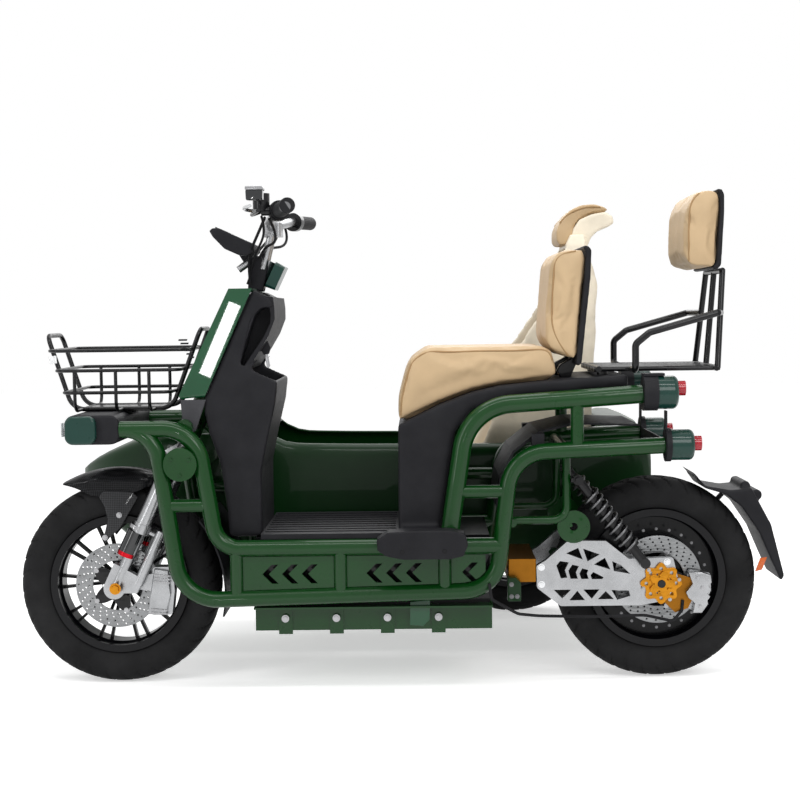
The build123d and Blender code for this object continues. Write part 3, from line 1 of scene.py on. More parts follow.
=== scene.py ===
import bpy
import bmesh
import json
import math
from mathutils import Vector, Matrix, noise


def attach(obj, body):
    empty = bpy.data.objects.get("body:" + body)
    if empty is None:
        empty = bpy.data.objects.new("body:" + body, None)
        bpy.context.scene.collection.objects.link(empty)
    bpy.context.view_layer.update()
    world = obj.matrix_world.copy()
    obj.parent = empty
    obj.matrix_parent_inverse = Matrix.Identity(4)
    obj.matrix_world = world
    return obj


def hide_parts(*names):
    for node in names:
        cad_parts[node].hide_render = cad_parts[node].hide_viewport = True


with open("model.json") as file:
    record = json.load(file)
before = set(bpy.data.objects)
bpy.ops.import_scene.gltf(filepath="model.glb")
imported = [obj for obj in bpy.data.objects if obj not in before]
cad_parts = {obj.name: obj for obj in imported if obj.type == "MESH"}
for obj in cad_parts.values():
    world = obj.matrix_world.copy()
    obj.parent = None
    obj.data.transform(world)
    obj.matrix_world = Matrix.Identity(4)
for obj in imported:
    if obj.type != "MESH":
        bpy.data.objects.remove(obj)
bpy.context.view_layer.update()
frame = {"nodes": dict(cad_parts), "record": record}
nodes = frame["nodes"]
scene = bpy.context.scene
print("frame loaded,", len(nodes), "nodes")


def centreOf(node):
    spots = [nodes[node].matrix_world @ vert.co for vert in nodes[node].data.vertices]
    return [round((min(spot[i] for spot in spots) + max(spot[i] for spot in spots)) / 2, 4) for i in range(3)]


frontAxle = centreOf("front_tyre")
rearAxle = centreOf("rear_tyre")
sideAxle = centreOf("sidecar_tyre")
middleX = (frontAxle[0] + rearAxle[0]) / 2
middleY = frontAxle[1]
bothSides = ((-1, "Left"), (1, "Right"))


def at(x, y, z):  # millimetres from the middle of the wheel base, on the ground below the rider
    return Vector((x / 1000 + middleX, y / 1000 + middleY, z / 1000))


# what the finishes share: a cloud in the colour, uneven shine and a fine relief
def startFinish(name):
    mat = bpy.data.materials.new(name)
    mat.use_nodes = True
    tree = mat.node_tree
    place = tree.nodes.new("ShaderNodeTexCoord")
    return mat, tree, tree.nodes["Principled BSDF"], place.outputs["Object"]


def grain(tree, place, scale, detail=4.0, rough=0.6, stretch=None):
    tex = tree.nodes.new("ShaderNodeTexNoise")
    tex.inputs["Scale"].default_value = scale
    tex.inputs["Detail"].default_value = detail
    tex.inputs["Roughness"].default_value = rough
    if stretch:
        mapping = tree.nodes.new("ShaderNodeMapping")
        mapping.inputs["Scale"].default_value = stretch
        tree.links.new(place, mapping.inputs["Vector"])
        place = mapping.outputs["Vector"]
    tree.links.new(place, tex.inputs["Vector"])
    return tex.outputs["Fac"]


def pebbles(tree, place, scale, feature="F1"):
    cells = tree.nodes.new("ShaderNodeTexVoronoi")
    cells.feature = feature
    cells.inputs["Scale"].default_value = scale
    tree.links.new(place, cells.inputs["Vector"])
    return cells.outputs["Distance"]


def cloudColour(tree, shader, fac, low, high, start=0.3, end=0.7):
    ramp = tree.nodes.new("ShaderNodeValToRGB")
    ramp.color_ramp.elements[0].position = start
    ramp.color_ramp.elements[1].position = end
    ramp.color_ramp.elements[0].color = (*low, 1)
    ramp.color_ramp.elements[1].color = (*high, 1)
    tree.links.new(fac, ramp.inputs["Fac"])
    tree.links.new(ramp.outputs["Color"], shader.inputs["Base Color"])


def unevenShine(tree, shader, fac, low, high):
    box = tree.nodes.new("ShaderNodeMapRange")
    box.inputs["To Min"].default_value = low
    box.inputs["To Max"].default_value = high
    tree.links.new(fac, box.inputs["Value"])
    tree.links.new(box.outputs["Result"], shader.inputs["Roughness"])


def relief(tree, shader, height, depth, strength, below=None):
    bump = tree.nodes.new("ShaderNodeBump")
    bump.inputs["Distance"].default_value = depth
    bump.inputs["Strength"].default_value = strength
    tree.links.new(height, bump.inputs["Height"])
    if below:
        tree.links.new(below, bump.inputs["Normal"])
    tree.links.new(bump.outputs["Normal"], shader.inputs["Normal"])
    return bump.outputs["Normal"]


paint = {"cloudScale": 6, "shade": 0.86, "specular": 0.14, "wearScale": 40, "smoother": 0.05, "rougher": 0.07,
         "peelScale": 260, "peelDetail": 2, "peelDepth": 0.00004, "peelStrength": 0.35}


def glossPaint(name, colour, coat, roughness=0.28, coatRoughness=0.04):
    mat, tree, shader, place = startFinish(name)
    darker = tuple(c * paint["shade"] for c in colour)
    cloudColour(tree, shader, grain(tree, place, paint["cloudScale"]), darker, colour)
    shader.inputs["Specular IOR Level"].default_value = paint["specular"]
    shader.inputs["Coat Weight"].default_value = coat
    shader.inputs["Coat Roughness"].default_value = coatRoughness
    wear = grain(tree, place, paint["wearScale"])
    unevenShine(tree, shader, wear, roughness - paint["smoother"], roughness + paint["rougher"])
    peel = grain(tree, place, paint["peelScale"], paint["peelDetail"])
    relief(tree, shader, peel, paint["peelDepth"], paint["peelStrength"])
    return mat


plastic = {"cloudScale": 14, "lighter": 1.25, "dust": 0.004, "wearScale": 55, "smoother": 0.07,
           "rougher": 0.10, "pebbleStrength": 0.6}


def mouldedPlastic(name, colour, roughness=0.5, pebbleScale=900, pebbleDepth=0.00012, specular=0.12):
    mat, tree, shader, place = startFinish(name)
    lighter = tuple(min(1, c * plastic["lighter"] + plastic["dust"]) for c in colour)
    cloudColour(tree, shader, grain(tree, place, plastic["cloudScale"]), colour, lighter)
    shader.inputs["Specular IOR Level"].default_value = specular
    wear = grain(tree, place, plastic["wearScale"])
    unevenShine(tree, shader, wear, roughness - plastic["smoother"], roughness + plastic["rougher"])
    relief(tree, shader, pebbles(tree, place, pebbleScale), pebbleDepth, plastic["pebbleStrength"])
    return mat


metal = {"cloudScale": 24, "shade": 0.8, "lineScale": 420, "lineDetail": 3, "lineRough": 0.7,
         "smoother": 0.08, "rougher": 0.12, "lineDepth": 0.00003, "lineStrength": 0.5}


def machinedMetal(name, colour, roughness, stretch=(1, 1, 1)):
    mat, tree, shader, place = startFinish(name)
    darker = tuple(c * metal["shade"] for c in colour)
    cloudColour(tree, shader, grain(tree, place, metal["cloudScale"]), darker, colour)
    shader.inputs["Metallic"].default_value = 1.0
    lines = grain(tree, place, metal["lineScale"], metal["lineDetail"], metal["lineRough"], stretch)
    unevenShine(tree, shader, lines, roughness - metal["smoother"], roughness + metal["rougher"])
    relief(tree, shader, lines, metal["lineDepth"], metal["lineStrength"])
    return mat


rubber = {"cloudScale": 9, "lighter": 1.5, "dust": 0.006, "specular": 0.12, "wearScale": 80, "spread": 0.1,
          "grainScale": 700, "grainDetail": 3, "grainDepth": 0.00015, "grainStrength": 0.5}


def rubberSkin(name, colour, roughness):
    mat, tree, shader, place = startFinish(name)
    dusty = tuple(c * rubber["lighter"] + rubber["dust"] for c in colour)
    cloudColour(tree, shader, grain(tree, place, rubber["cloudScale"]), colour, dusty)
    shader.inputs["Specular IOR Level"].default_value = rubber["specular"]
    wear = grain(tree, place, rubber["wearScale"])
    unevenShine(tree, shader, wear, roughness - rubber["spread"], roughness + rubber["spread"])
    skin = grain(tree, place, rubber["grainScale"], rubber["grainDetail"])
    relief(tree, shader, skin, rubber["grainDepth"], rubber["grainStrength"])
    return mat


leather = {"cloudScale": 11, "shade": 0.88, "specular": 0.3, "wearScale": 60, "smoother": 0.08,
           "rougher": 0.10, "poreScale": 520, "poreDepth": 0.0005, "poreStrength": 0.45,
           "creaseScale": 34, "creaseDetail": 3, "creaseDepth": 0.0008, "creaseStrength": 0.25}


def leatherSkin(name, colour, roughness):
    mat, tree, shader, place = startFinish(name)
    worn = tuple(c * leather["shade"] for c in colour)
    cloudColour(tree, shader, grain(tree, place, leather["cloudScale"]), worn, colour)
    shader.inputs["Specular IOR Level"].default_value = leather["specular"]
    wear = grain(tree, place, leather["wearScale"])
    unevenShine(tree, shader, wear, roughness - leather["smoother"], roughness + leather["rougher"])
    pores = pebbles(tree, place, leather["poreScale"], "DISTANCE_TO_EDGE")
    first = relief(tree, shader, pores, leather["poreDepth"], leather["poreStrength"])
    creases = grain(tree, place, leather["creaseScale"], leather["creaseDetail"])
    relief(tree, shader, creases, leather["creaseDepth"], leather["creaseStrength"], first)
    return mat


weave = {"dark": (0.006, 0.006, 0.007, 1), "light": (0.034, 0.035, 0.038, 1), "scale": (330, 330, 330),
         "turn": 45, "roughness": 0.38, "specular": 0.1, "coat": 0.35, "coatRoughness": 0.06,
         "depth": 0.0002, "strength": 0.3}


def carbonWeave(name):
    mat, tree, shader, place = startFinish(name)
    turn = tree.nodes.new("ShaderNodeMapping")
    turn.inputs["Rotation"].default_value = (0, math.radians(weave["turn"]), 0)
    turn.inputs["Scale"].default_value = weave["scale"]
    tree.links.new(place, turn.inputs["Vector"])
    check = tree.nodes.new("ShaderNodeTexChecker")
    check.inputs["Scale"].default_value = 1.0
    check.inputs["Color1"].default_value = weave["dark"]
    check.inputs["Color2"].default_value = weave["light"]
    tree.links.new(turn.outputs["Vector"], check.inputs["Vector"])
    tree.links.new(check.outputs["Color"], shader.inputs["Base Color"])
    shader.inputs["Roughness"].default_value = weave["roughness"]
    shader.inputs["Specular IOR Level"].default_value = weave["specular"]
    shader.inputs["Coat Weight"].default_value = weave["coat"]
    shader.inputs["Coat Roughness"].default_value = weave["coatRoughness"]
    relief(tree, shader, check.outputs["Fac"], weave["depth"], weave["strength"])
    return mat


lens = {"cloudScale": 18, "shade": 0.75, "roughness": 0.06, "bending": 1.49, "ribScale": 70,
        "ribDepth": 0.0004, "ribStrength": 0.3}


def lensPlastic(name, colour, clear):
    mat, tree, shader, place = startFinish(name)
    deeper = tuple(c * lens["shade"] for c in colour)
    cloudColour(tree, shader, grain(tree, place, lens["cloudScale"]), deeper, colour)
    shader.inputs["Roughness"].default_value = lens["roughness"]
    shader.inputs["Transmission Weight"].default_value = clear
    shader.inputs["IOR"].default_value = lens["bending"]
    ribs = tree.nodes.new("ShaderNodeTexWave")
    ribs.inputs["Scale"].default_value = lens["ribScale"]
    tree.links.new(place, ribs.inputs["Vector"])
    relief(tree, shader, ribs.outputs["Fac"], lens["ribDepth"], lens["ribStrength"])
    return mat


finish = {
    "frameGreen": glossPaint("frameGreen", (0.0026, 0.043, 0.0052), 0.32),
    "panelGreen": glossPaint("panelGreen", (0.002, 0.062, 0.020), 0.6, 0.3, 0.012),
    "lampGreen": glossPaint("lampGreen", (0.006, 0.040, 0.030), 0.35),
    # bodyGreen: the tub's own dark green, darkened further to the tone of its shaded near wall, so partly
    # painted shade
    "bodyGreen": glossPaint("bodyGreen", (0.002, 0.026, 0.004), 0.15, 0.36),
    "blackMetal": glossPaint("blackMetal", (0.004, 0.004, 0.005), 0.3, 0.32),
    "rimBlack": glossPaint("rimBlack", (0.002, 0.002, 0.003), 0.12, 0.34),
    "screenGlass": glossPaint("screenGlass", (0.006, 0.007, 0.009), 1.0, 0.12),
    "blackPlastic": mouldedPlastic("blackPlastic", (0.0105, 0.0105, 0.0125)),
    "greyPlastic": mouldedPlastic("greyPlastic", (0.050, 0.050, 0.055), 0.48),
    "cream": mouldedPlastic("cream", (0.74, 0.67, 0.54), 0.4, 500, 0.00005, 0.4),
    "whiteLens": mouldedPlastic("whiteLens", (0.80, 0.82, 0.84), 0.25, 300, 0.00004, 0.5),
    "carbon": carbonWeave("carbon"),
    "tyreRubber": rubberSkin("tyreRubber", (0.0085, 0.0085, 0.009), 0.72),
    "gripRubber": rubberSkin("gripRubber", (0.008, 0.008, 0.009), 0.62),
    "aluminium": machinedMetal("aluminium", (0.37, 0.375, 0.385), 0.27),
    "steel": machinedMetal("steel", (0.36, 0.36, 0.37), 0.26, (1, 6, 1)),
    "darkSteel": machinedMetal("darkSteel", (0.15, 0.15, 0.155), 0.32),
    "discSteel": machinedMetal("discSteel", (0.25, 0.255, 0.26), 0.3),
    "chrome": machinedMetal("chrome", (0.62, 0.63, 0.64), 0.14),
    "gold": machinedMetal("gold", (0.50, 0.205, 0.016), 0.3),
    "goldShade": machinedMetal("goldShade", (0.26, 0.105, 0.012), 0.38),
    "redAnodised": machinedMetal("redAnodised", (0.50, 0.012, 0.02), 0.25),
    "tanLeather": leatherSkin("tanLeather", (0.565, 0.405, 0.235), 0.52),
    "tanThread": leatherSkin("tanThread", (0.36, 0.225, 0.105), 0.6),
    "clearLens": lensPlastic("clearLens", (0.86, 0.90, 0.92), 0.85),
    "redLens": lensPlastic("redLens", (0.50, 0.004, 0.020), 0.2),
    "orangeLens": lensPlastic("orangeLens", (0.72, 0.13, 0.008), 0.15),
}
slotLooks = {
    "frame_green": "frameGreen", "panel_green": "panelGreen", "lamp_green": "lampGreen",
    "body_green": "bodyGreen", "black_plastic": "blackPlastic", "black_metal": "blackMetal",
    "carbon": "carbon", "tyre": "tyreRubber", "rubber": "gripRubber", "rim_black": "rimBlack",
    "aluminium": "aluminium", "steel": "steel", "gold": "gold", "tan_leather": "tanLeather",
    "cream": "cream", "clear": "clearLens", "red_lens": "redLens",
}
# these look different from the rest of their slot
nodeLooks = {"side_panels": "frameGreen", "rear_shocks": "blackMetal", "pivot_beam": "goldShade",
             "caliper_bracket": "goldShade"}
for part in frame["record"]["subparts"]:
    node = part["node"]
    nodes[node].data.materials.clear()
    nodes[node].data.materials.append(finish[nodeLooks.get(node, slotLooks[part["material_slot"]])])
print("materials ready")


# helpers that make and keep a mesh
edges = {"sharpAngle": 35, "segments": 3, "profile": 0.6, "smoothing": 0.5, "plateBevel": 0.0006,
         "weld": 0.00002}


def smoothFaces(mesh):
    for face in mesh.polygons:
        face.use_smooth = True


def keepMesh(name, mesh, look, body):
    obj = bpy.data.objects.new(name, mesh)
    scene.collection.objects.link(obj)
    mesh.materials.append(finish[look])
    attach(obj, body)
    return obj


def fromBmesh(name, bm, look, body):
    bmesh.ops.recalc_face_normals(bm, faces=bm.faces)
    mesh = bpy.data.meshes.new(name)
    bm.to_mesh(mesh)
    bm.free()
    smoothFaces(mesh)
    mesh.set_sharp_from_angle(angle=math.radians(edges["sharpAngle"]))
    return keepMesh(name, mesh, look, body)


def fromCurve(name, curve):
    holder = bpy.data.objects.new(name + "Curve", curve)
    scene.collection.objects.link(holder)
    bpy.context.view_layer.update()
    mesh = bpy.data.meshes.new_from_object(holder.evaluated_get(bpy.context.evaluated_depsgraph_get()))
    mesh.name = name
    bpy.data.objects.remove(holder)
    return mesh


def applyAll(obj, *modifiers):
    for modifier in modifiers:
        with bpy.context.temp_override(object=obj, active_object=obj, selected_objects=[obj]):
            bpy.ops.object.modifier_apply(modifier=modifier)


def addSmooth(obj, rounds):
    smooth = obj.modifiers.new("smooth", "SMOOTH")
    smooth.factor = edges["smoothing"]
    smooth.iterations = rounds


def evenOut(obj, voxel, rounds):  # an even mesh with soft edges
    even = obj.modifiers.new("even", "REMESH")
    even.mode = "VOXEL"
    even.voxel_size = voxel
    addSmooth(obj, rounds)
    applyAll(obj, "even", "smooth")


def standFor(obj, slotName, *replaced):
    if replaced:
        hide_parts(*replaced)


def addRod(bm, start, end, radius, sides=20, endRadius=None):
    run = end - start
    turn = run.to_track_quat("Z", "Y").to_matrix().to_4x4()
    bmesh.ops.create_cone(bm, cap_ends=True, segments=sides, radius1=radius,
                          radius2=radius if endRadius is None else endRadius, depth=run.length,
                          matrix=Matrix.Translation((start + end) / 2) @ turn)


def rodPiece(name, start, end, radius, look, body, sides=36, endRadius=None):
    bm = bmesh.new()
    addRod(bm, start, end, radius, sides, endRadius)
    return fromBmesh(name, bm, look, body)


# shares of the bolt's height and radius, and how round each step is
boltHead = {"washerHeight": 0.35, "washerRadius": 1.35, "washerSides": 24, "roundSides": 18, "hexSides": 6,
            "taper": 0.93, "socketHeight": 1.02, "socketRadius": 0.5}


def boltSet(name, bolts, look, body, side=-1):
    # spots in millimetres on the left side, radius and height in metres
    bm = bmesh.new()
    radius = bolts["radius"]
    rise = Vector((0, side, 0)) * bolts["height"]
    headSides = boltHead["hexSides"] if bolts.get("hexagon") else boltHead["roundSides"]
    for x, y, z in bolts["spots"]:
        foot = at(x, -side * y, z)
        washer = foot + rise * boltHead["washerHeight"]
        addRod(bm, foot, washer, radius * boltHead["washerRadius"], boltHead["washerSides"])
        addRod(bm, washer, foot + rise, radius, headSides, radius * boltHead["taper"])
        addRod(bm, foot + rise, foot + rise * boltHead["socketHeight"], radius * boltHead["socketRadius"],
               boltHead["hexSides"])
    return fromBmesh(name, bm, look, body)


def pipe(name, points, radius, look, body, roundness=6):
    curve = bpy.data.curves.new(name, "CURVE")
    curve.dimensions = "3D"
    curve.bevel_depth = radius
    curve.bevel_resolution = roundness
    curve.resolution_u = 10
    curve.use_fill_caps = True
    spline = curve.splines.new("NURBS")
    spline.points.add(len(points) - 1)
    for point, spot in zip(spline.points, points):
        point.co = (*spot, 1)
    spline.order_u = 4
    spline.use_endpoint_u = True
    mesh = fromCurve(name, curve)
    smoothFaces(mesh)
    return keepMesh(name, mesh, look, body)


def hose(name, side, route, look, body):  # a bent rod at the bar, drawn for the right side in millimetres
    return pipe(name, [at(x, side * y, z) for x, y, z in route["points"]], route["radius"], look, body)


def sideForm(outline, yFrom, yTo, bevel=0.0):  # a side outline in millimetres, as thick as from yFrom to yTo
    bm = bmesh.new()
    first = [bm.verts.new(at(x, yFrom, z)) for x, z in outline]
    second = [bm.verts.new(at(x, yTo, z)) for x, z in outline]
    bm.faces.new(first)
    bm.faces.new(list(reversed(second)))
    for k in range(len(first)):
        n = (k + 1) % len(first)
        bm.faces.new((first[n], first[k], second[k], second[n]))
    bmesh.ops.recalc_face_normals(bm, faces=bm.faces)
    if bevel:
        bmesh.ops.bevel(bm, geom=list(bm.edges), offset=bevel, segments=edges["segments"], affect="EDGES",
                        profile=edges["profile"])
    return bm


def sideSlab(name, form, look, body, side=1):
    yFrom, yTo = form["sides"]
    return fromBmesh(name, sideForm(form["outline"], side * yFrom, side * yTo, form["bevel"]), look, body)


def softSlab(name, form, look, body):
    obj = fromBmesh(name, sideForm(form["outline"], *form["sides"]), look, body)
    evenOut(obj, form["voxel"], form["rounds"])
    smoothFaces(obj.data)
    return obj


# tyres with a cut tread
tyre = {
    "outer": 0.2398, "halfWidth": 0.055, "rings": 288, "steps": 3, "edgeSteps": 2, "edgeShare": 0.96,
    "grooveDepth": 0.006, "treadShare": 0.865, "slotsAround": 36, "sharpness": 1.6,
    "slot": {"span": (0.16, 0.995), "width": 0.11, "lean": 1.1, "leanPower": 1.5},
    "middleSlot": {"span": (0.02, 0.42), "width": 0.10, "leanShare": 0.4},
    "rib": {"place": 0.1, "width": 0.02, "depth": 0.9},
    "serration": {"span": (0.74, 0.80), "height": 0.0004, "waves": 90},
    # from bead to crown: share of the half width, share of the outer radius
    "profileShares": [(0.70, 0.688), (0.80, 0.70), (0.90, 0.73), (0.97, 0.78), (1.0, 0.835), (0.985, 0.875),
                      (0.95, 0.908), (0.90, 0.933), (0.84, 0.951), (0.76, 0.966), (0.67, 0.978),
                      (0.57, 0.987), (0.46, 0.993), (0.34, 0.997), (0.22, 0.999), (0.10, 1.0), (0.0, 1.0)],
}


def treadDepth(share, turn):
    # slots that sweep back from the middle to the shoulder, left and right out of step
    slot, middleSlot, rib = tyre["slot"], tyre["middleSlot"], tyre["rib"]
    width = abs(share)
    outOfStep = 0.5 if share < 0 else 0.0
    lean = slot["lean"] * width ** slot["leanPower"]
    phase = (turn * tyre["slotsAround"] + outOfStep + lean) % 1.0
    middlePhase = (turn * tyre["slotsAround"] + outOfStep + 0.5 - lean * middleSlot["leanShare"]) % 1.0
    depth = 0.0
    if slot["span"][0] < width < slot["span"][1]:
        depth = max(0.0, 1 - abs(phase - 0.5) / slot["width"])
    if middleSlot["span"][0] < width < middleSlot["span"][1]:
        depth = max(depth, 1 - abs(middlePhase - 0.5) / middleSlot["width"])
    if abs(width - rib["place"]) < rib["width"]:
        depth = max(depth, rib["depth"])
    return min(1.0, depth * tyre["sharpness"])


def treadedTyre(name, centre, node, body):
    serration = tyre["serration"]
    profile = tyre["profileShares"]
    shares = [(-y, r) for y, r in profile] + list(reversed(profile[:-1]))
    fine = []
    for (ya, ra), (yb, rb) in zip(shares, shares[1:]):
        steps = tyre["steps"] if abs(yb) < tyre["edgeShare"] else tyre["edgeSteps"]
        for i in range(steps):
            share = i / steps
            fine.append((ya + (yb - ya) * share, ra + (rb - ra) * share))
    fine.append(shares[-1])
    bm = bmesh.new()
    rings = []
    for k in range(tyre["rings"]):
        turn = k / tyre["rings"]
        angle = 2 * math.pi * turn
        ring = []
        for y, r in fine:
            radius = r * tyre["outer"]
            if r > tyre["treadShare"]:
                radius -= treadDepth(y, turn) * tyre["grooveDepth"]
            if serration["span"][0] < r < serration["span"][1]:
                radius += serration["height"] * math.sin(angle * serration["waves"])
            ring.append(bm.verts.new((centre[0] + radius * math.cos(angle), centre[1] + y * tyre["halfWidth"],
                                      centre[2] + radius * math.sin(angle))))
        rings.append(ring)
    for a, b in zip(rings, rings[1:] + rings[:1]):
        for i in range(len(a) - 1):
            bm.faces.new((a[i], a[i + 1], b[i + 1], b[i]))
        bm.faces.new((a[-1], a[0], b[0], b[-1]))
    standFor(fromBmesh(name, bm, "tyreRubber", body), "tyre", node)


treadedTyre("frontTyreTread", frontAxle, "front_tyre", "front_wheel")
treadedTyre("rearTyreTread", rearAxle, "rear_tyre", "rear_wheel")
treadedTyre("sidecarTyreTread", sideAxle, "sidecar_tyre", "sidecar_wheel")
print("tyres ready")

# padded pieces: sizes in metres, outlines in millimetres; the CAD form is used where no outline is given
cushions = {
    "seat": {"label": "riderSeatPad", "voxel": 0.007, "cap": 0.006, "pressure": 2.5, "shrink": 0.004},
    "rider_backrest": {
        "label": "riderBackPad", "voxel": 0.006, "cap": 0.005, "pressure": 2.5, "shrink": 0.003,
        "sides": (-158, 158),
        "outline": [(404, 1018), (388, 996), (381, 924), (375, 850), (374, 806), (386, 786), (441, 760),
                    (447, 768), (457, 890), (467, 1005), (461, 1021)],
    },
    "upper_backrest": {
        "label": "upperBackPad", "voxel": 0.005, "cap": 0.005, "pressure": 2.5, "shrink": 0.003,
        "sides": (-130, 130),
        "outline": [(717, 1143), (750, 1153), (768, 1150), (776, 1140), (777, 1105), (769, 976), (762, 969),
                    (707, 976), (697, 991), (697, 1051), (702, 1115)],
    },
    "sidecar_seat": {"label": "sidecarSeatPad", "voxel": 0.012, "cap": 0.010, "pressure": 3.0,
                     "shrink": 0.006},
    "sidecar_headrest": {
        "label": "sidecarHeadPad", "voxel": 0.005, "cap": 0.004, "pressure": 2.5, "shrink": 0.002,
        "sides": (411, 579),
        "outline": [(455, 1048), (447, 1060), (448, 1089), (460, 1114), (486, 1142), (516, 1155), (548, 1157),
                    (580, 1150), (594, 1139), (560, 1133), (542, 1130), (510, 1116), (498, 1100), (493, 1058),
                    (471, 1046)],
    },
}
padding = {"smoothRounds": 10, "steps": 20, "quality": 4, "tension": 12, "bending": 0.4, "wrinkleScale": 22,
           "wrinkle": 0.0007, "overhang": 0.004}


def swell(obj, pressure):
    # blows the pad up like a bag and gives back where its points went
    cloth = obj.modifiers.new("swell", "CLOTH")
    cloth.settings.use_pressure = True
    cloth.settings.uniform_pressure_force = pressure
    cloth.settings.effector_weights.gravity = 0.0
    cloth.settings.quality = padding["quality"]
    cloth.settings.tension_stiffness = padding["tension"]
    cloth.settings.bending_stiffness = padding["bending"]
    cloth.point_cache.frame_start = 1
    cloth.point_cache.frame_end = padding["steps"]
    for step in range(1, padding["steps"] + 1):
        scene.frame_set(step)
    moved = obj.evaluated_get(bpy.context.evaluated_depsgraph_get())
    spots = [vert.co.copy() for vert in moved.data.vertices]
    obj.modifiers.remove(cloth)
    scene.frame_set(1)
    return spots


def cushion(node, settings):
    label = settings["label"]
    if "outline" in settings:
        mesh = bpy.data.meshes.new(label)
        bm = sideForm(settings["outline"], *settings["sides"])
        bm.to_mesh(mesh)
        bm.free()
    else:
        mesh = nodes[node].data.copy()
        mesh.name = label
    obj = bpy.data.objects.new(label, mesh)
    scene.collection.objects.link(obj)
    bpy.context.view_layer.objects.active = obj
    low = [min(vert.co[i] for vert in mesh.vertices) - padding["overhang"] for i in range(3)]
    high = [max(vert.co[i] for vert in mesh.vertices) + padding["overhang"] for i in range(3)]
    evenOut(obj, settings["voxel"], padding["smoothRounds"])
    shrink = obj.modifiers.new("shrink", "DISPLACE")
    shrink.mid_level = 0.0
    shrink.strength = -settings["shrink"]
    applyAll(obj, "shrink")
    rest = [vert.co.copy() for vert in obj.data.vertices]
    spots = swell(obj, settings["pressure"])
    for vert, start, end in zip(obj.data.vertices, rest, spots):
        step = end - start
        if step.length > settings["cap"]:
            step = step.normalized() * settings["cap"]
        wrinkle = noise.noise(start * padding["wrinkleScale"]) * padding["wrinkle"]
        spot = start + step + vert.normal * wrinkle
        vert.co = [min(max(spot[i], low[i]), high[i]) for i in range(3)]
    finer = obj.modifiers.new("finer", "SUBSURF")
    finer.levels = 1
    applyAll(obj, "finer")
    smoothFaces(obj.data)
    obj.data.materials.clear()
    obj.data.materials.append(finish["tanLeather"])
    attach(obj, "chassis")
    standFor(obj, "tan_leather", node)
    return obj


pads = {}
for node, settings in cushions.items():
    pads[node] = cushion(node, settings)
    print("padded", node, len(pads[node].data.vertices))

# moulded pieces with soft edges, made from the CAD forms
moulded = {
    "leg_shield": {"label": "legShieldMoulding", "slot": "black_plastic", "voxel": 0.0052, "rounds": 7},
    "seat_body": {"label": "seatBodyMoulding", "slot": "black_plastic", "voxel": 0.0056, "rounds": 5},
    "rear_mudguard": {"label": "rearMudguardMoulding", "slot": "black_plastic", "voxel": 0.0036, "rounds": 4},
    "sidecar_seat_shell": {"label": "sidecarSeatFrame", "slot": "cream", "voxel": 0.0064, "rounds": 5},
    "front_lamp_housing": {"label": "lampHousing", "slot": "black_plastic", "voxel": 0.0042, "rounds": 3},
}


def mouldingFrom(node, settings):
    obj = bpy.data.objects.new(settings["label"], nodes[node].data.copy())
    scene.collection.objects.link(obj)
    evenOut(obj, settings["voxel"], settings["rounds"])
    smoothFaces(obj.data)
    obj.data.materials.clear()
    obj.data.materials.append(finish[slotLooks[settings["slot"]]])
    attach(obj, "chassis")
    standFor(obj, settings["slot"], node)
    return obj


shells = {node: mouldingFrom(node, settings) for node, settings in moulded.items()}

# the passenger's backrest narrows towards its top
# each row of a table: height, front edge, rear edge, in metres; plainRows are the CAD form's
seatBack = {
    "plainRows": [(0.7758, 0.3331, 0.5413), (0.8991, 0.4284, 0.5609), (1.0368, 0.4526, 0.5595),
                  (1.1043, 0.4867, 0.605)],
    "rows": [(0.800, 0.338, 0.536), (0.854, 0.386, 0.540), (0.893, 0.413, 0.548), (0.941, 0.422, 0.553),
             (0.979, 0.430, 0.546), (1.047, 0.474, 0.526), (1.110, 0.486, 0.522)],
    "start": 0.80, "fade": 0.09, "overshoot": 0.05, "lowerAbove": 1.05, "lowerShare": 0.5,
}


def edgesAt(rows, z):
    for low, high in zip(rows, rows[1:]):
        if z <= high[0]:
            share = max(0.0, (z - low[0]) / (high[0] - low[0]))
            return [a + (b - a) * share + middleX for a, b in zip(low[1:], high[1:])]
    return [edge + middleX for edge in rows[-1][1:]]


def narrowTop(obj):
    for vert in obj.data.vertices:
        z = vert.co.z
        weight = min(1.0, max(0.0, (z - seatBack["start"]) / seatBack["fade"]))
        plainFront, plainRear = edgesAt(seatBack["plainRows"], z)
        front, rear = edgesAt(seatBack["rows"], z)
        share = (vert.co.x - plainFront) / (plainRear - plainFront)
        share = min(1 + seatBack["overshoot"], max(-seatBack["overshoot"], share))
        vert.co.x += (front + (rear - front) * share - vert.co.x) * weight
        if z > seatBack["lowerAbove"]:
            vert.co.z = seatBack["lowerAbove"] + (z - seatBack["lowerAbove"]) * seatBack["lowerShare"]


narrowTop(shells["sidecar_seat_shell"])
narrowTop(pads["sidecar_seat"])

riderBackShell = {
    "outline": [(458, 1025), (470, 1025), (479, 1015), (476, 950), (466, 860), (455, 757), (447, 750),
                (442, 756), (449, 830), (462, 950), (466, 1010)],
    "sides": (-156, 156), "voxel": 0.0036, "rounds": 3,
}
standFor(softSlab("riderBackShell", riderBackShell, "blackPlastic", "chassis"), "black_plastic",
         "rider_backrest_shell")
backHinge = {"outline": [(404, 738), (412, 722), (436, 722), (452, 760), (446, 790), (436, 764), (412, 752)],
             "sides": (58, 84), "bevel": 0.002}
for side, tag in bothSides:
    sideSlab("backHinge" + tag, backHinge, "blackMetal", "chassis", side)
upperBackPlate = {
    "outline": [(766, 1152), (780, 1150), (786, 1138), (786, 1100), (779, 978), (770, 967), (758, 970),
                (768, 984), (776, 1100), (774, 1140)],
    "sides": (-129, 129), "voxel": 0.0034, "rounds": 3,
}
standFor(softSlab("upperBackPlate", upperBackPlate, "blackPlastic", "chassis"), "black_plastic",
         "upper_backrest_shell")
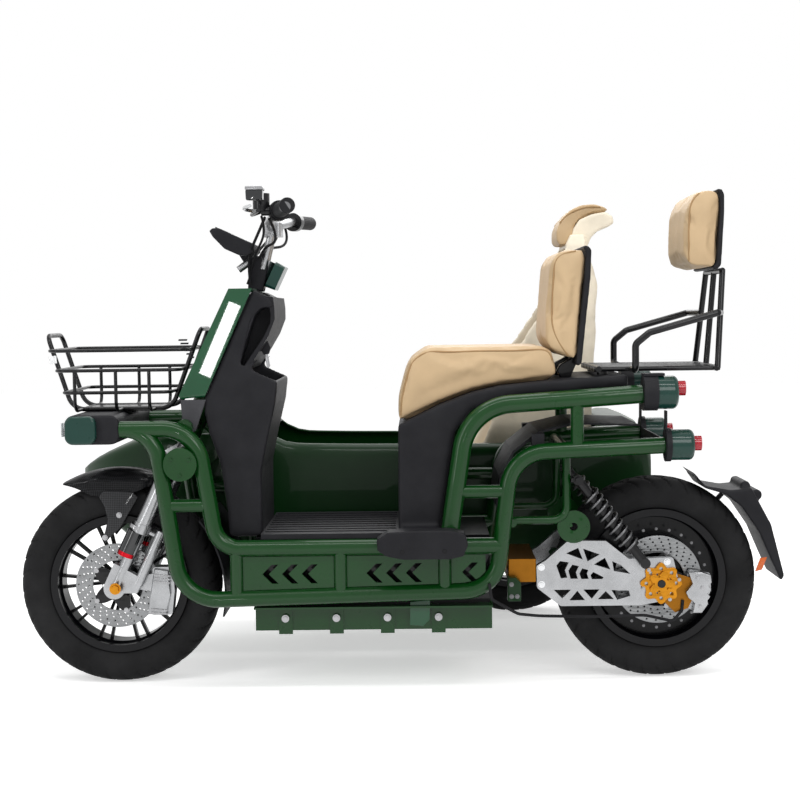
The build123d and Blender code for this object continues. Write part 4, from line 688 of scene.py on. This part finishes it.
headrestCheek = {
    "outline": [(494, 1092), (510, 1116), (542, 1130), (579, 1136), (598, 1124), (601, 1106), (586, 1096),
                (560, 1087), (541, 1069), (532, 1048), (524, 1036), (488, 1036), (491, 1080)],
    "sides": (406, 584), "voxel": 0.003, "rounds": 8,
}
standFor(softSlab("headrestCheek", headrestCheek, "cream", "chassis"), "cream")
footStep = {
    "outline": [(-18, 372), (8, 389), (84, 391.5), (148, 391.5), (180, 384), (187, 358), (176, 333),
                (147, 326.5), (41, 326.5), (4, 334), (-16, 347)],
    "sides": (-277, -221.5), "voxel": 0.003, "rounds": 7,
}
standFor(softSlab("footStepMoulding", footStep, "blackPlastic", "chassis"), "black_plastic", "foot_step")
footStepHoles = {"spots": [(40, -276.6, 344), (134, -276.6, 345)], "radius": 0.0056, "height": 0.0010}
boltSet("footStepHoles", footStepHoles, "rimBlack", "chassis")
print("moulded pieces ready")

# sidecar tub: one swept hull with an open top
tub = {
    "middle": 490, "wall": 0.005, "squareness": 0.22, "around": 72, "stationGap": 24, "smoothRounds": 6,
    "open": (-293, 530), "openWidthShare": 0.60,
    # place along the length, top, bottom, half width
    "stations": [(-834, 462, 452, 20), (-815, 482, 425, 62), (-775, 508, 375, 112), (-720, 533, 318, 158),
                 (-640, 566, 262, 200), (-560, 590, 226, 228), (-460, 607, 206, 238), (-352, 620, 201, 240),
                 (-326, 600, 200, 240), (-293, 569, 200, 240), (-262, 556, 200, 240), (-100, 552, 200, 240),
                 (60, 550, 200, 240), (220, 549, 200, 240), (380, 549, 200, 240), (470, 552, 200, 240),
                 (530, 590, 200, 240), (580, 607, 200, 240), (640, 604, 204, 236), (672, 560, 222, 226),
                 (682, 500, 260, 214)],
}


def hullRing(bm, station):
    x, top, bottom, half = station
    ring = []
    for k in range(tub["around"]):
        angle = 2 * math.pi * (k + 0.5) / tub["around"]
        across = math.copysign(abs(math.cos(angle)) ** tub["squareness"], math.cos(angle))
        upwards = math.copysign(abs(math.sin(angle)) ** tub["squareness"], math.sin(angle))
        z = (top + bottom) / 2 + (top - bottom) / 2 * upwards
        ring.append(bm.verts.new(at(x, tub["middle"] + half * across, z)))
    return ring


def makeTub():
    stations = []
    for first, second in zip(tub["stations"], tub["stations"][1:]):
        steps = max(1, int((second[0] - first[0]) / tub["stationGap"]))
        for k in range(steps):
            share = k / steps
            stations.append([a + (b - a) * share for a, b in zip(first, second)])
    stations.append(tub["stations"][-1])
    bm = bmesh.new()
    rings = [hullRing(bm, station) for station in stations]
    low, high = tub["open"]
    for k in range(len(rings) - 1):
        alongOpening = low < (stations[k][0] + stations[k + 1][0]) / 2 < high
        for i in range(tub["around"]):
            j = (i + 1) % tub["around"]
            angle = 2 * math.pi * (i + 1) / tub["around"]
            onTop = math.sin(angle) > 0 and abs(math.cos(angle)) < tub["openWidthShare"]
            if not (alongOpening and onTop):
                bm.faces.new((rings[k][i], rings[k][j], rings[k + 1][j], rings[k + 1][i]))
    bm.faces.new(rings[0])
    bm.faces.new(list(reversed(rings[-1])))
    obj = fromBmesh("sidecarTubHull", bm, "bodyGreen", "chassis")
    addSmooth(obj, tub["smoothRounds"])
    wall = obj.modifiers.new("wall", "SOLIDIFY")
    wall.thickness = tub["wall"]
    wall.offset = -1
    applyAll(obj, "smooth", "wall")
    standFor(obj, "body_green", "sidecar_tub")


makeTub()
print("sidecar tub ready")

# seams: a thin welt near each side of a pad, laid on its surface
welts = {
    "seat": {"label": "seatWelt", "sides": (-149, 149),
             "outline": [(36, 640), (36, 680), (58, 765), (98, 792), (200, 796), (370, 795), (392, 786),
                         (401, 745)]},
    "rider_backrest": {"label": "riderbackrestWelt", "sides": (-155, 155),
                       "outline": [(420, 768), (386, 840), (384, 905), (390, 985), (404, 1012), (462, 1020)]},
    "upper_backrest": {"label": "upperbackrestWelt", "sides": (-127, 127),
                       "outline": [(704, 985), (703, 1110), (712, 1136), (745, 1150)]},
    "sidecar_headrest": {"label": "sidecarheadrestWelt", "sides": (411, 579),
                         "outline": [(452, 1110), (458, 1126), (505, 1143), (545, 1157), (588, 1142)]},
}
stitching = {"radius": 0.0022, "pointGap": 16, "lift": 0.0004, "smoothRounds": 2}


def welt(name, pad, outline, y):
    spots = []
    for (xa, za), (xb, zb) in zip(outline, outline[1:]):
        steps = max(2, int(math.hypot(xb - xa, zb - za) / stitching["pointGap"]))
        for k in range(steps):
            share = k / steps
            spots.append(at(xa + (xb - xa) * share, y, za + (zb - za) * share))
    laid = []
    for spot in spots:
        found, place, normal, index = pad.closest_point_on_mesh(spot)
        laid.append(place + normal * stitching["lift"])
    for k in range(stitching["smoothRounds"]):
        laid[1:-1] = [(a + b * 2 + c) / 4 for a, b, c in zip(laid, laid[1:], laid[2:])]
    pipe(name, laid, stitching["radius"], "tanThread", "chassis", roundness=3)


for node, seam in welts.items():
    for y, tag in zip(seam["sides"], ("Left", "Right")):
        welt(seam["label"] + tag, pads[node], seam["outline"], y)
print("seams ready")


# small trim on the frame
def roundSpots(x, y, z, radius, angles):
    return [(x + radius * math.cos(a), y, z + radius * math.sin(a)) for a in angles]


trayStrapBolts = {"spots": [(-234 + 118 * k, -170, 176) for k in range(4)], "radius": 0.0065, "height": 0.005,
                  "hexagon": True}
rearGussetScrews = {"spots": roundSpots(440, -205, 377, 22, (0.4, 2.5, 4.6)), "radius": 0.003,
                    "height": 0.002}
frontGussetScrews = {"spots": roundSpots(-462, -224, 541, 24, (0.5, 2.6, 4.7)), "radius": 0.0035,
                     "height": 0.003}
armBolts = {"spots": [(362, -118, 280), (362, -118, 240), (655, -118, 290)], "radius": 0.006, "height": 0.005,
            "hexagon": True}
sideReflector = {"outline": [(868, 258), (884, 262), (896, 292), (880, 290)], "sides": (-80.5, -77),
                 "bevel": 0.001}
basketReflector = {"outline": [(-786, 768), (-768, 770), (-770, 788), (-788, 786)], "sides": (-78, -70),
                   "bevel": 0.001}
boltSet("trayStrapBolts", trayStrapBolts, "steel", "chassis")
boltSet("rearGussetScrews", rearGussetScrews, "frameGreen", "chassis")
boltSet("frontGussetScrews", frontGussetScrews, "frameGreen", "chassis")
boltSet("armBolts", armBolts, "chrome", "chassis")
sideSlab("sideReflector", sideReflector, "orangeLens", "chassis")
sideSlab("basketReflector", basketReflector, "whiteLens", "chassis")

# handlebar ends, levers and their hoses
barEnd = {"start": (-202.1, 344, 1109), "end": (-201.2, 348.7, 1109), "radius": 0.0135, "endRadius": 0.011}
brakeLever = {"radius": 0.0042, "points": [(-268, 215, 1108), (-296, 232, 1110), (-306, 262, 1112),
                                           (-292, 300, 1113), (-280, 332, 1113)]}
leverHose = {"radius": 0.0028, "points": [(-268, 205, 1098), (-262, 170, 1068), (-282, 96, 1040),
                                          (-306, 48, 1010), (-312, 34, 972), (-322, 30, 950)]}
for side, tag in bothSides:
    start, end = [at(x, side * y, z) for x, y, z in (barEnd["start"], barEnd["end"])]
    rodPiece("barEndCap" + tag, start, end, barEnd["radius"], "darkSteel", "steering", 32,
             barEnd["endRadius"])
    hose("brakeLever" + tag, side, brakeLever, "chrome", "steering")
    hose("leverHose" + tag, side, leverHose, "gripRubber", "steering")


# drilled plates: flat loops round an axle, filled between outline and holes
def drilledPlate(name, centre, y, loops, half, look, body):
    curve = bpy.data.curves.new(name, "CURVE")
    curve.dimensions = "2D"
    curve.fill_mode = "BOTH"
    curve.extrude = half
    curve.bevel_depth = edges["plateBevel"]
    curve.bevel_resolution = 1
    for loop in loops:
        spline = curve.splines.new("POLY")
        spline.points.add(len(loop) - 1)
        for point, (px, pz) in zip(spline.points, loop):
            point.co = (px, pz, 0, 1)
        spline.use_cyclic_u = True
    mesh = fromCurve(name, curve)
    for vert in mesh.vertices:
        px, pz, depth = vert.co
        vert.co = (centre[0] + px, centre[1] + y - depth, centre[2] + pz)
    bm = bmesh.new()
    bm.from_mesh(mesh)
    bmesh.ops.remove_doubles(bm, verts=bm.verts, dist=edges["weld"])
    return fromBmesh(name, bm, look, body)


def ringLoop(radius, count, lobes=0, wave=0.0, mid=(0, 0)):
    spots = []
    for k in range(count):
        a = 2 * math.pi * k / count
        r = radius + wave * math.cos(lobes * a)
        spots.append((mid[0] + r * math.cos(a), mid[1] + r * math.sin(a)))
    return spots


holePoints = 12


def holeRing(radius, count, size, phase=0.0):
    loops = []
    for k in range(count):
        a = 2 * math.pi * (k + phase) / count
        loops.append(ringLoop(size, holePoints, mid=(radius * math.cos(a), radius * math.sin(a))))
    return loops


disc = {
    "plane": -0.0665, "half": 0.0016, "rows": 4, "holes": 28, "holeRadius": 0.0027, "innerRow": 0.008,
    "outerRow": 0.006, "rowPhase": 0.27,
    "spiderPlane": -0.0695, "spiderHalf": 0.0018, "arms": 5, "armRoot": 0.011, "armWave": 0.0135,
    "bore": 0.016, "boltCircle": 0.030, "boltHole": 0.0065,
    "buttonCircle": 0.001, "buttonPlane": -0.0675, "buttonRadius": 0.0055, "buttonHeight": 0.005,
    "hubRadius": 0.024, "hubFrom": -0.0445, "hubTo": -0.0725,
    "outerPoints": 160, "innerPoints": 100, "spiderPoints": 140, "borePoints": 40,
}


def brakeDisc(name, centre, outer, inner, node, body):
    loops = [ringLoop(outer, disc["outerPoints"]), ringLoop(inner, disc["innerPoints"])]
    gap = (outer - inner - disc["innerRow"] - disc["outerRow"]) / (disc["rows"] - 1)
    for k in range(disc["rows"]):
        loops += holeRing(inner + disc["innerRow"] + gap * k, disc["holes"], disc["holeRadius"],
                          disc["rowPhase"] * k)
    standFor(drilledPlate(name + "Plate", centre, disc["plane"], loops, disc["half"], "discSteel", body),
             "aluminium", node)
    spider = [ringLoop(inner - disc["armRoot"], disc["spiderPoints"], disc["arms"], disc["armWave"]),
              ringLoop(disc["bore"], disc["borePoints"])]
    spider += holeRing(disc["boltCircle"], disc["arms"], disc["boltHole"], 0.5)
    standFor(drilledPlate(name + "Spider", centre, disc["spiderPlane"], spider, disc["spiderHalf"],
                          "blackMetal", body), "black_metal")
    angles = [2 * math.pi * k / disc["arms"] for k in range(disc["arms"])]
    axleX, axleZ = 1000 * (centre[0] - middleX), 1000 * centre[2]
    spots = roundSpots(axleX, 1000 * disc["buttonPlane"], axleZ, 1000 * (inner + disc["buttonCircle"]),
                       angles)
    buttons = {"spots": spots, "radius": disc["buttonRadius"], "height": disc["buttonHeight"]}
    boltSet(name + "Buttons", buttons, "steel", body)
    hub = Vector(centre)
    standFor(rodPiece(name + "Hub", hub + Vector((0, disc["hubFrom"], 0)),
                      hub + Vector((0, disc["hubTo"], 0)), disc["hubRadius"], "blackMetal", body,
                      disc["borePoints"]), "black_metal")


brakeDisc("frontBrakeDisc", frontAxle, 0.0995, 0.060, "front_disc", "front_wheel")
brakeDisc("rearBrakeDisc", rearAxle, 0.1035, 0.064, "rear_disc", "rear_wheel")

# gold star over the rear hub: a base with eight lobes and a top with five
starBase = {"plane": -0.1215, "half": 0.0026,
            "loops": [ringLoop(0.043, 128, 8, 0.005), ringLoop(0.012, 30)] + holeRing(0.0345, 8, 0.0048)
            + holeRing(0.023, 8, 0.0032, 0.5)}
starTop = {"plane": -0.1275, "half": 0.0028,
           "loops": [ringLoop(0.025, 120, 5, 0.006), ringLoop(0.010, 30)] + holeRing(0.0185, 5, 0.003, 0.5)}
starBolt = {"spots": [(640, -129, 240)], "radius": 0.0095, "height": 0.0028, "hexagon": True}
starNuts = {"spots": roundSpots(640, -124, 240, 43, (0.2, 2.3, 3.4, 5.2)), "radius": 0.0032, "height": 0.003,
            "hexagon": True}
standFor(drilledPlate("hubStarBase", rearAxle, starBase["plane"], starBase["loops"], starBase["half"], "gold",
                      "chassis"), "gold", "hub_cover")
standFor(drilledPlate("hubStarTop", rearAxle, starTop["plane"], starTop["loops"], starTop["half"], "gold",
                      "chassis"), "gold")
boltSet("hubStarBolt", starBolt, "blackMetal", "chassis")
boltSet("hubStarNuts", starNuts, "steel", "chassis")

# front mudguard: an arched blade over the tyre, its edge dropping further in the middle of its length
blade = {
    "start": 117.5, "end": 70.0, "rows": 40, "columns": 24, "crown": 0.2735, "half": 0.0635, "ridge": 0.003,
    "flatness": 0.72, "fold": 0.55, "taperRows": 6, "taper": 0.25, "thickness": 0.0028,
    # degrees round the axle, drop of the edge
    "drops": [(117.5, 0.002), (113, 0.020), (106, 0.050), (98, 0.062), (84, 0.060), (76, 0.040), (70, 0.022)],
}


def edgeDrop(degrees):
    for (a, low), (b, high) in zip(blade["drops"], blade["drops"][1:]):
        if b <= degrees <= a:
            drop = low + (high - low) * (a - degrees) / (a - b)
    return drop


def makeBlade():
    bm = bmesh.new()
    rows = []
    for k in range(blade["rows"] + 1):
        degrees = blade["start"] + (blade["end"] - blade["start"]) * k / blade["rows"]
        angle = math.radians(degrees)
        tip = max(0, (k - blade["rows"] + blade["taperRows"]) / blade["taperRows"])
        half = blade["half"] * (1 - blade["taper"] * tip ** 2)
        row = []
        for i in range(blade["columns"] + 1):
            phi = math.radians(-90 + 180 * i / blade["columns"])
            y = half * math.copysign(abs(math.sin(phi)) ** blade["flatness"], math.sin(phi))
            fall = edgeDrop(degrees) * (1 - abs(math.cos(phi)) ** blade["fold"])
            r = blade["crown"] - fall + blade["ridge"] * math.cos(phi)
            row.append(bm.verts.new((frontAxle[0] + r * math.cos(angle), frontAxle[1] + y,
                                     frontAxle[2] + r * math.sin(angle))))
        rows.append(row)
    for a, b in zip(rows, rows[1:]):
        for i in range(blade["columns"]):
            bm.faces.new((a[i], a[i + 1], b[i + 1], b[i]))
    bmesh.ops.solidify(bm, geom=list(bm.faces), thickness=blade["thickness"])
    standFor(fromBmesh("mudguardBlade", bm, "carbon", "steering"), "carbon", "front_mudguard")


makeBlade()

mudguardStay = {
    "outline": [(-680, 452), (-668, 431), (-660, 399), (-668, 367), (-675, 353), (-667, 342), (-653, 359),
                (-633, 375), (-614, 406), (-588, 450), (-600, 462), (-668, 466)],
    "sides": (64.5, 68.5), "bevel": 0.0008,
}
# spots of the left side, which boltSet mirrors
mudguardBolts = {"spots": [(-633, -68.5, 408), (-668, -68.5, 355)], "radius": 0.005, "height": 0.004,
                 "hexagon": True}
# fork legs: dark stanchion, red ring and a collar, with the ends of each as (x, z) in millimetres
fork = {
    "offset": 104,
    "stanchion": {"ends": [(-586, 374), (-611, 322)], "radius": 0.0207},
    "ring": {"ends": [(-609, 326), (-613, 317)], "radius": 0.0215},
    "collar": {"ends": [(-583, 380), (-579.5, 388)], "radius": 0.0218},
}


def forkRod(name, side, rod, look):
    start, end = [at(x, side * fork["offset"], z) for x, z in rod["ends"]]
    return rodPiece(name, start, end, rod["radius"], look, "steering")


for side, tag in bothSides:
    standFor(sideSlab("mudguardStay" + tag, mudguardStay, "carbon", "steering", side), "carbon")
    boltSet("mudguardBolts" + tag, mudguardBolts, "steel", "steering", side)
    standFor(forkRod("forkStanchion" + tag, side, fork["stanchion"], "screenGlass"), "black_metal")
    forkRod("forkRing" + tag, side, fork["ring"], "redAnodised")
    forkRod("forkCollar" + tag, side, fork["collar"], "steel")

# calipers
frontCaliper = {"outline": [(-548, 284), (-514, 279), (-510, 223), (-523, 173), (-566, 175), (-558, 224)],
                "sides": (-98, -84), "bevel": 0.004}
caliperRibs = {"starts": [(-549, 272), (-549, 264), (-549, 256), (-557, 190), (-557, 182)], "length": 38,
               "height": 4, "sides": (-100.5, -97), "bevel": 0.0008}
frontAxleNut = {"spots": [(-634, -131, 243)], "radius": 0.010, "height": 0.008, "hexagon": True}
rearCaliper = {
    "outline": [(706, 262), (737, 263), (758, 256), (760, 238), (753, 232), (758, 224), (750, 214),
                (757, 205), (750, 196), (752, 188), (737, 167), (716, 167), (721, 190), (706, 202),
                (700, 216), (716, 236)],
    "sides": (-112, -92), "bevel": 0.0022,
}
rearCaliperBolts = {"spots": [(727, -112, 250), (738, -112, 226), (733, -112, 182)], "radius": 0.0042,
                    "height": 0.004, "hexagon": True}
standFor(sideSlab("frontCaliperFace", frontCaliper, "aluminium", "steering"), "aluminium")
for k, (x, z) in enumerate(caliperRibs["starts"]):
    end, height = x + caliperRibs["length"], caliperRibs["height"]
    rib = {**caliperRibs, "outline": [(x, z), (end, z - height), (end, z - 2 * height), (x, z - height)]}
    sideSlab("caliperRib" + str(k), rib, "steel", "steering")
boltSet("frontAxleNut", frontAxleNut, "gold", "steering")
standFor(sideSlab("rearCaliperFace", rearCaliper, "aluminium", "chassis"), "aluminium")
boltSet("rearCaliperBolts", rearCaliperBolts, "steel", "chassis")

# meter, its arm and the lock beside it
meterHousing = {
    "outline": [(-404, 1074), (-396, 1081), (-380, 1080), (-302, 1043), (-299, 1028), (-314, 1015),
                (-336, 1017), (-369, 1032), (-396, 1060)],
    "sides": (-77, 77), "voxel": 0.0026, "rounds": 4,
}
meterScreen = {"outline": [(-391, 1079.6), (-308, 1041), (-307, 1046.0), (-390, 1084.4)], "sides": (-68, 68),
               "bevel": 0.0008}
meterArm = {"outline": [(-346, 1026), (-314, 1018), (-292, 988), (-300, 972), (-316, 980), (-334, 1006)],
            "sides": (-16, 16), "bevel": 0.003}
meterLock = {"start": (-342, -30, 984), "end": (-318, -30, 1001), "radius": 0.0085}
standFor(softSlab("meterHousing", meterHousing, "blackPlastic", "steering"), "black_plastic", "display")
sideSlab("meterScreen", meterScreen, "screenGlass", "steering")
sideSlab("meterArm", meterArm, "blackPlastic", "steering")
rodPiece("meterLock", at(*meterLock["start"]), at(*meterLock["end"]), meterLock["radius"], "steel",
         "steering", 28)

# fluid cups on the bar, and the stem's covers and cables
cupGlass = {"outline": [(-290, 1126), (-254, 1126), (-253, 1149), (-291, 1149)], "sides": (280, 322),
            "bevel": 0.004}
cupLid = {"outline": [(-292, 1148.5), (-252, 1148.5), (-253, 1157), (-291, 1157)], "sides": (278, 324),
          "bevel": 0.003}
stemCover = {"outline": [(-322, 938), (-286, 932), (-272, 990), (-282, 1012), (-300, 1018), (-316, 1008)],
             "sides": (4, 26), "bevel": 0.005}
stemCable = {"radius": 0.0034, "points": [(-262, 190, 1096), (-290, 120, 1052), (-312, 56, 1030),
                                          (-318, 40, 990), (-314, 34, 948)]}
stemLoop = {"radius": 0.0032, "points": [(-250, 210, 1092), (-236, 150, 1056), (-254, 84, 1034),
                                         (-276, 44, 1042), (-292, 34, 1010)]}
for side, tag in bothSides:
    sideSlab("cupGlass" + tag, cupGlass, "screenGlass", "steering", side)
    sideSlab("cupLid" + tag, cupLid, "steel", "steering", side)
    sideSlab("stemCover" + tag, stemCover, "blackPlastic", "steering", side)
    hose("stemCable" + tag, side, stemCable, "gripRubber", "steering")
    hose("stemLoop" + tag, side, stemLoop, "gripRubber", "steering")

# niche in the back of the leg shield: rim, walls and floor on each side, joined by the rim's outer edge
niche = {
    "rimSide": 147, "floorSide": 84,
    "outer": [(-320, 926), (-251, 917), (-248, 892), (-248, 866), (-262, 831), (-283, 796), (-312, 752),
              (-338, 748), (-336, 800), (-330, 870)],
    "inner": [(-276, 905), (-260, 898), (-257, 880), (-258, 858), (-274, 826), (-292, 800), (-322, 757),
              (-333, 756), (-318, 810), (-296, 872)],
}


def makeNiche():
    bm = bmesh.new()
    count = len(niche["outer"])
    rims = []
    for side, tag in bothSides:
        edge = [bm.verts.new(at(x, side * niche["rimSide"], z)) for x, z in niche["outer"]]
        lip = [bm.verts.new(at(x, side * niche["rimSide"], z)) for x, z in niche["inner"]]
        deep = [bm.verts.new(at(x, side * niche["floorSide"], z)) for x, z in niche["inner"]]
        for k in range(count):
            n = (k + 1) % count
            bm.faces.new((edge[k], edge[n], lip[n], lip[k]))
            bm.faces.new((lip[k], lip[n], deep[n], deep[k]))
        bm.faces.new(deep)
        rims.append(edge)
    left, right = rims
    for k in range(count):
        n = (k + 1) % count
        bm.faces.new((left[k], left[n], right[n], right[k]))
    standFor(fromBmesh("shieldNiche", bm, "blackPlastic", "chassis"), "black_plastic")


makeNiche()

# key, grey cheeks and slots of the leg shield
keyFob = {"outline": [(-284, 817), (-270, 817), (-263, 800), (-267, 786), (-280, 784), (-287, 799)],
          "sides": (-101, -93), "bevel": 0.002}
keyBlade = {"outline": [(-277, 786), (-270, 786), (-265, 758), (-269, 752), (-273, 758)],
            "sides": (-98.2, -95.8), "bevel": 0.0004}
shieldCheek = {"outline": [(-468, 684), (-409, 684), (-434, 612), (-462, 606)], "sides": (148, 156),
               "bevel": 0.002}
standFor(sideSlab("keyFob", keyFob, "blackPlastic", "chassis"), "steel", "ignition_key")
sideSlab("keyBlade", keyBlade, "steel", "chassis")
for side, tag in bothSides:
    sideSlab("shieldCheek" + tag, shieldCheek, "greyPlastic", "chassis", side)
trayBracket = {"outline": [(55, 214), (101, 219), (99, 173), (84, 158), (54, 161)], "sides": (-184, -178),
               "bevel": 0.001}
sideSlab("trayBracket", trayBracket, "panelGreen", "chassis")
# each slot lies a pitch below the last one and follows the panel's slant
panelSlot = {"count": 6, "front": -468, "rear": -448, "top": 824, "height": 4, "pitch": 8, "frontSlant": 4.4,
             "rearSlant": 3, "sides": (-159.2, -157.5), "bevel": 0.0003}
for k in range(panelSlot["count"]):
    front = panelSlot["front"] + panelSlot["frontSlant"] * k
    rear = panelSlot["rear"] + panelSlot["rearSlant"] * k
    top = panelSlot["top"] - panelSlot["pitch"] * k
    low = top - panelSlot["height"]
    slot = {**panelSlot, "outline": [(front, top), (rear, top), (rear - 1, low), (front - 1, low)]}
    sideSlab("panelSlot" + str(k), slot, "blackPlastic", "chassis")
armMount = {"outline": [(281, 206), (312, 206), (312, 250), (300, 262), (281, 262)], "sides": (-150, -121),
            "bevel": 0.003}
armMountBolts = {"spots": [(290, -150, 218), (303, -150, 218), (290, -150, 246)], "radius": 0.004,
                 "height": 0.0035, "hexagon": True}
sideSlab("armMountBlock", armMount, "bodyGreen", "chassis")
boltSet("armMountBolts", armMountBolts, "darkSteel", "chassis")
print("trim ready")

# shock coils, in millimetres
shock = {"top": (446, 487), "foot": (600, 291), "offset": 138, "coilRadius": 21, "wire": 3.4, "turns": 9,
         "pointsATurn": 12, "startShare": 0.16, "coilShare": 0.66}
for side, tag in bothSides:
    top, foot = [at(x, side * shock["offset"], z) for x, z in (shock["top"], shock["foot"])]
    across = Vector((0, 1, 0))
    third = (foot - top).normalized().cross(across)
    radius = shock["coilRadius"] / 1000
    count = shock["turns"] * shock["pointsATurn"]
    spots = []
    for k in range(count + 1):
        share = shock["startShare"] + shock["coilShare"] * k / count
        angle = 2 * math.pi * k / shock["pointsATurn"]
        ring = across * radius * math.cos(angle) + third * radius * math.sin(angle)
        spots.append(top.lerp(foot, share) + ring)
    pipe("shockCoil" + tag, spots, shock["wire"] / 1000, "darkSteel", "chassis", roundness=3)

motorCoverBolts = {"spots": roundSpots(640, -50, 240, 118, [2 * math.pi * k / 24 for k in range(24)]),
                   "radius": 0.0026, "height": 0.0025}
boltSet("motorCoverBolts", motorCoverBolts, "darkSteel", "rear_wheel")
print("small parts ready")


# studio: a floor and a world that are white where the camera, a mirror or a lens sees them
def whiteWhereSeen(tree):
    path = tree.nodes.new("ShaderNodeLightPath")
    seen = path.outputs["Is Camera Ray"]
    for ray in ("Is Glossy Ray", "Is Transmission Ray"):
        either = tree.nodes.new("ShaderNodeMath")
        either.operation = "MAXIMUM"
        tree.links.new(seen, either.inputs[0])
        tree.links.new(path.outputs[ray], either.inputs[1])
        seen = either.outputs[0]
    return seen


studio = {"floorSize": 14, "floorColour": (0.93, 0.93, 0.93, 1), "floorRoughness": 0.9, "floorGlow": 0.5,
          "skyLight": 0.5, "skySeen": 1.0, "white": (1, 1, 1, 1)}


def makeFloor():
    mesh = bpy.data.meshes.new("studioFloor")
    bm = bmesh.new()
    bmesh.ops.create_grid(bm, x_segments=1, y_segments=1, size=studio["floorSize"])
    bm.to_mesh(mesh)
    bm.free()
    floor = bpy.data.objects.new("studioFloor", mesh)
    scene.collection.objects.link(floor)
    mat = bpy.data.materials.new("studioFloor")
    mat.use_nodes = True
    mesh.materials.append(mat)
    tree = mat.node_tree
    shader = tree.nodes["Principled BSDF"]
    shader.inputs["Base Color"].default_value = studio["floorColour"]
    shader.inputs["Roughness"].default_value = studio["floorRoughness"]
    glow = tree.nodes.new("ShaderNodeEmission")
    both = tree.nodes.new("ShaderNodeAddShader")
    lift = tree.nodes.new("ShaderNodeMath")
    lift.operation = "MULTIPLY"
    lift.inputs[1].default_value = studio["floorGlow"]
    tree.links.new(whiteWhereSeen(tree), lift.inputs[0])
    tree.links.new(lift.outputs[0], glow.inputs["Strength"])
    tree.links.new(shader.outputs[0], both.inputs[0])
    tree.links.new(glow.outputs[0], both.inputs[1])
    tree.links.new(both.outputs[0], tree.nodes["Material Output"].inputs["Surface"])


def makeWorld():
    world = bpy.data.worlds.new("studio")
    scene.world = world
    world.use_nodes = True
    tree = world.node_tree
    tree.nodes.clear()
    out = tree.nodes.new("ShaderNodeOutputWorld")
    mix = tree.nodes.new("ShaderNodeMixShader")
    tree.links.new(whiteWhereSeen(tree), mix.inputs["Fac"])
    for slotNumber, strength in ((1, studio["skyLight"]), (2, studio["skySeen"])):
        sky = tree.nodes.new("ShaderNodeBackground")
        sky.inputs["Color"].default_value = studio["white"]
        sky.inputs["Strength"].default_value = strength
        tree.links.new(sky.outputs[0], mix.inputs[slotNumber])
    tree.links.new(mix.outputs[0], out.inputs["Surface"])


makeFloor()
makeWorld()

# metres and watts; panelStrip leans with the shield's green panel, which mirrors it
lamps = {
    "topSoftbox": {"spot": (0.0, 0.3, 3.4), "aim": (0, 0, 0.4), "size": (3.0, 1.6), "power": 44},
    "topStrip": {"spot": (0.1, -1.9, 2.9), "aim": (0, -0.2, 0.5), "size": (3.4, 0.22), "power": 30},
    "frontStrip": {"spot": (-2.3, -2.2, 1.6), "aim": (-0.3, -0.2, 0.7), "size": (0.3, 2.2), "power": 16},
    "leftSoftbox": {"spot": (1.4, -3.2, 2.2), "aim": (0.3, -0.2, 0.6), "size": (1.4, 1.2), "power": 30},
    "backFill": {"spot": (0.4, 2.6, 2.2), "aim": (0, 0, 0.7), "size": (2.2, 1.2), "power": 24},
    "panelStrip": {"spot": (-1.335, -7.65, 0.705), "aim": (-1.335, 0.0, 0.705), "size": (0.085, 0.545),
                   "power": 7.6, "lean": -24},
}
for name, settings in lamps.items():
    data = bpy.data.lights.new(name, "AREA")
    data.shape = "RECTANGLE"
    data.size, data.size_y = settings["size"]
    data.energy = settings["power"]
    lamp = bpy.data.objects.new(name, data)
    lamp.location = settings["spot"]
    towards = Vector(settings["aim"]) - Vector(settings["spot"])
    lamp.rotation_euler = towards.to_track_quat("-Z", "Y").to_euler()
    if "lean" in settings:
        lamp.rotation_euler.rotate_axis("Z", math.radians(settings["lean"]))
    scene.collection.objects.link(lamp)

# camera: place in millimetres, angles in radians
view = {"spot": (81.4, -3685.7, 878.7), "yaw": -0.012607, "pitch": 0.067249, "roll": -0.0135, "sensor": 36,
        "lens": 69.3, "lift": 0.02, "reach": 60}


def makeCamera():
    yaw, pitch, roll = view["yaw"], view["pitch"], view["roll"]
    ahead = Vector((math.sin(yaw) * math.cos(pitch), math.cos(yaw) * math.cos(pitch), -math.sin(pitch)))
    level = Vector((math.cos(yaw), -math.sin(yaw), 0))
    upright = level.cross(ahead)
    right = level * math.cos(roll) + upright * math.sin(roll)
    up = upright * math.cos(roll) - level * math.sin(roll)
    data = bpy.data.cameras.new("photoView")
    data.sensor_width = view["sensor"]
    data.lens = view["lens"]
    data.shift_y = view["lift"]
    data.clip_end = view["reach"]
    camera = bpy.data.objects.new("photoView", data)
    scene.collection.objects.link(camera)
    turn = Matrix((right, up, -ahead)).transposed()
    camera.matrix_world = Matrix.Translation(at(*view["spot"])) @ turn.to_4x4()
    scene.camera = camera


makeCamera()
scene.view_settings.view_transform = "Standard"

print("scene ready")
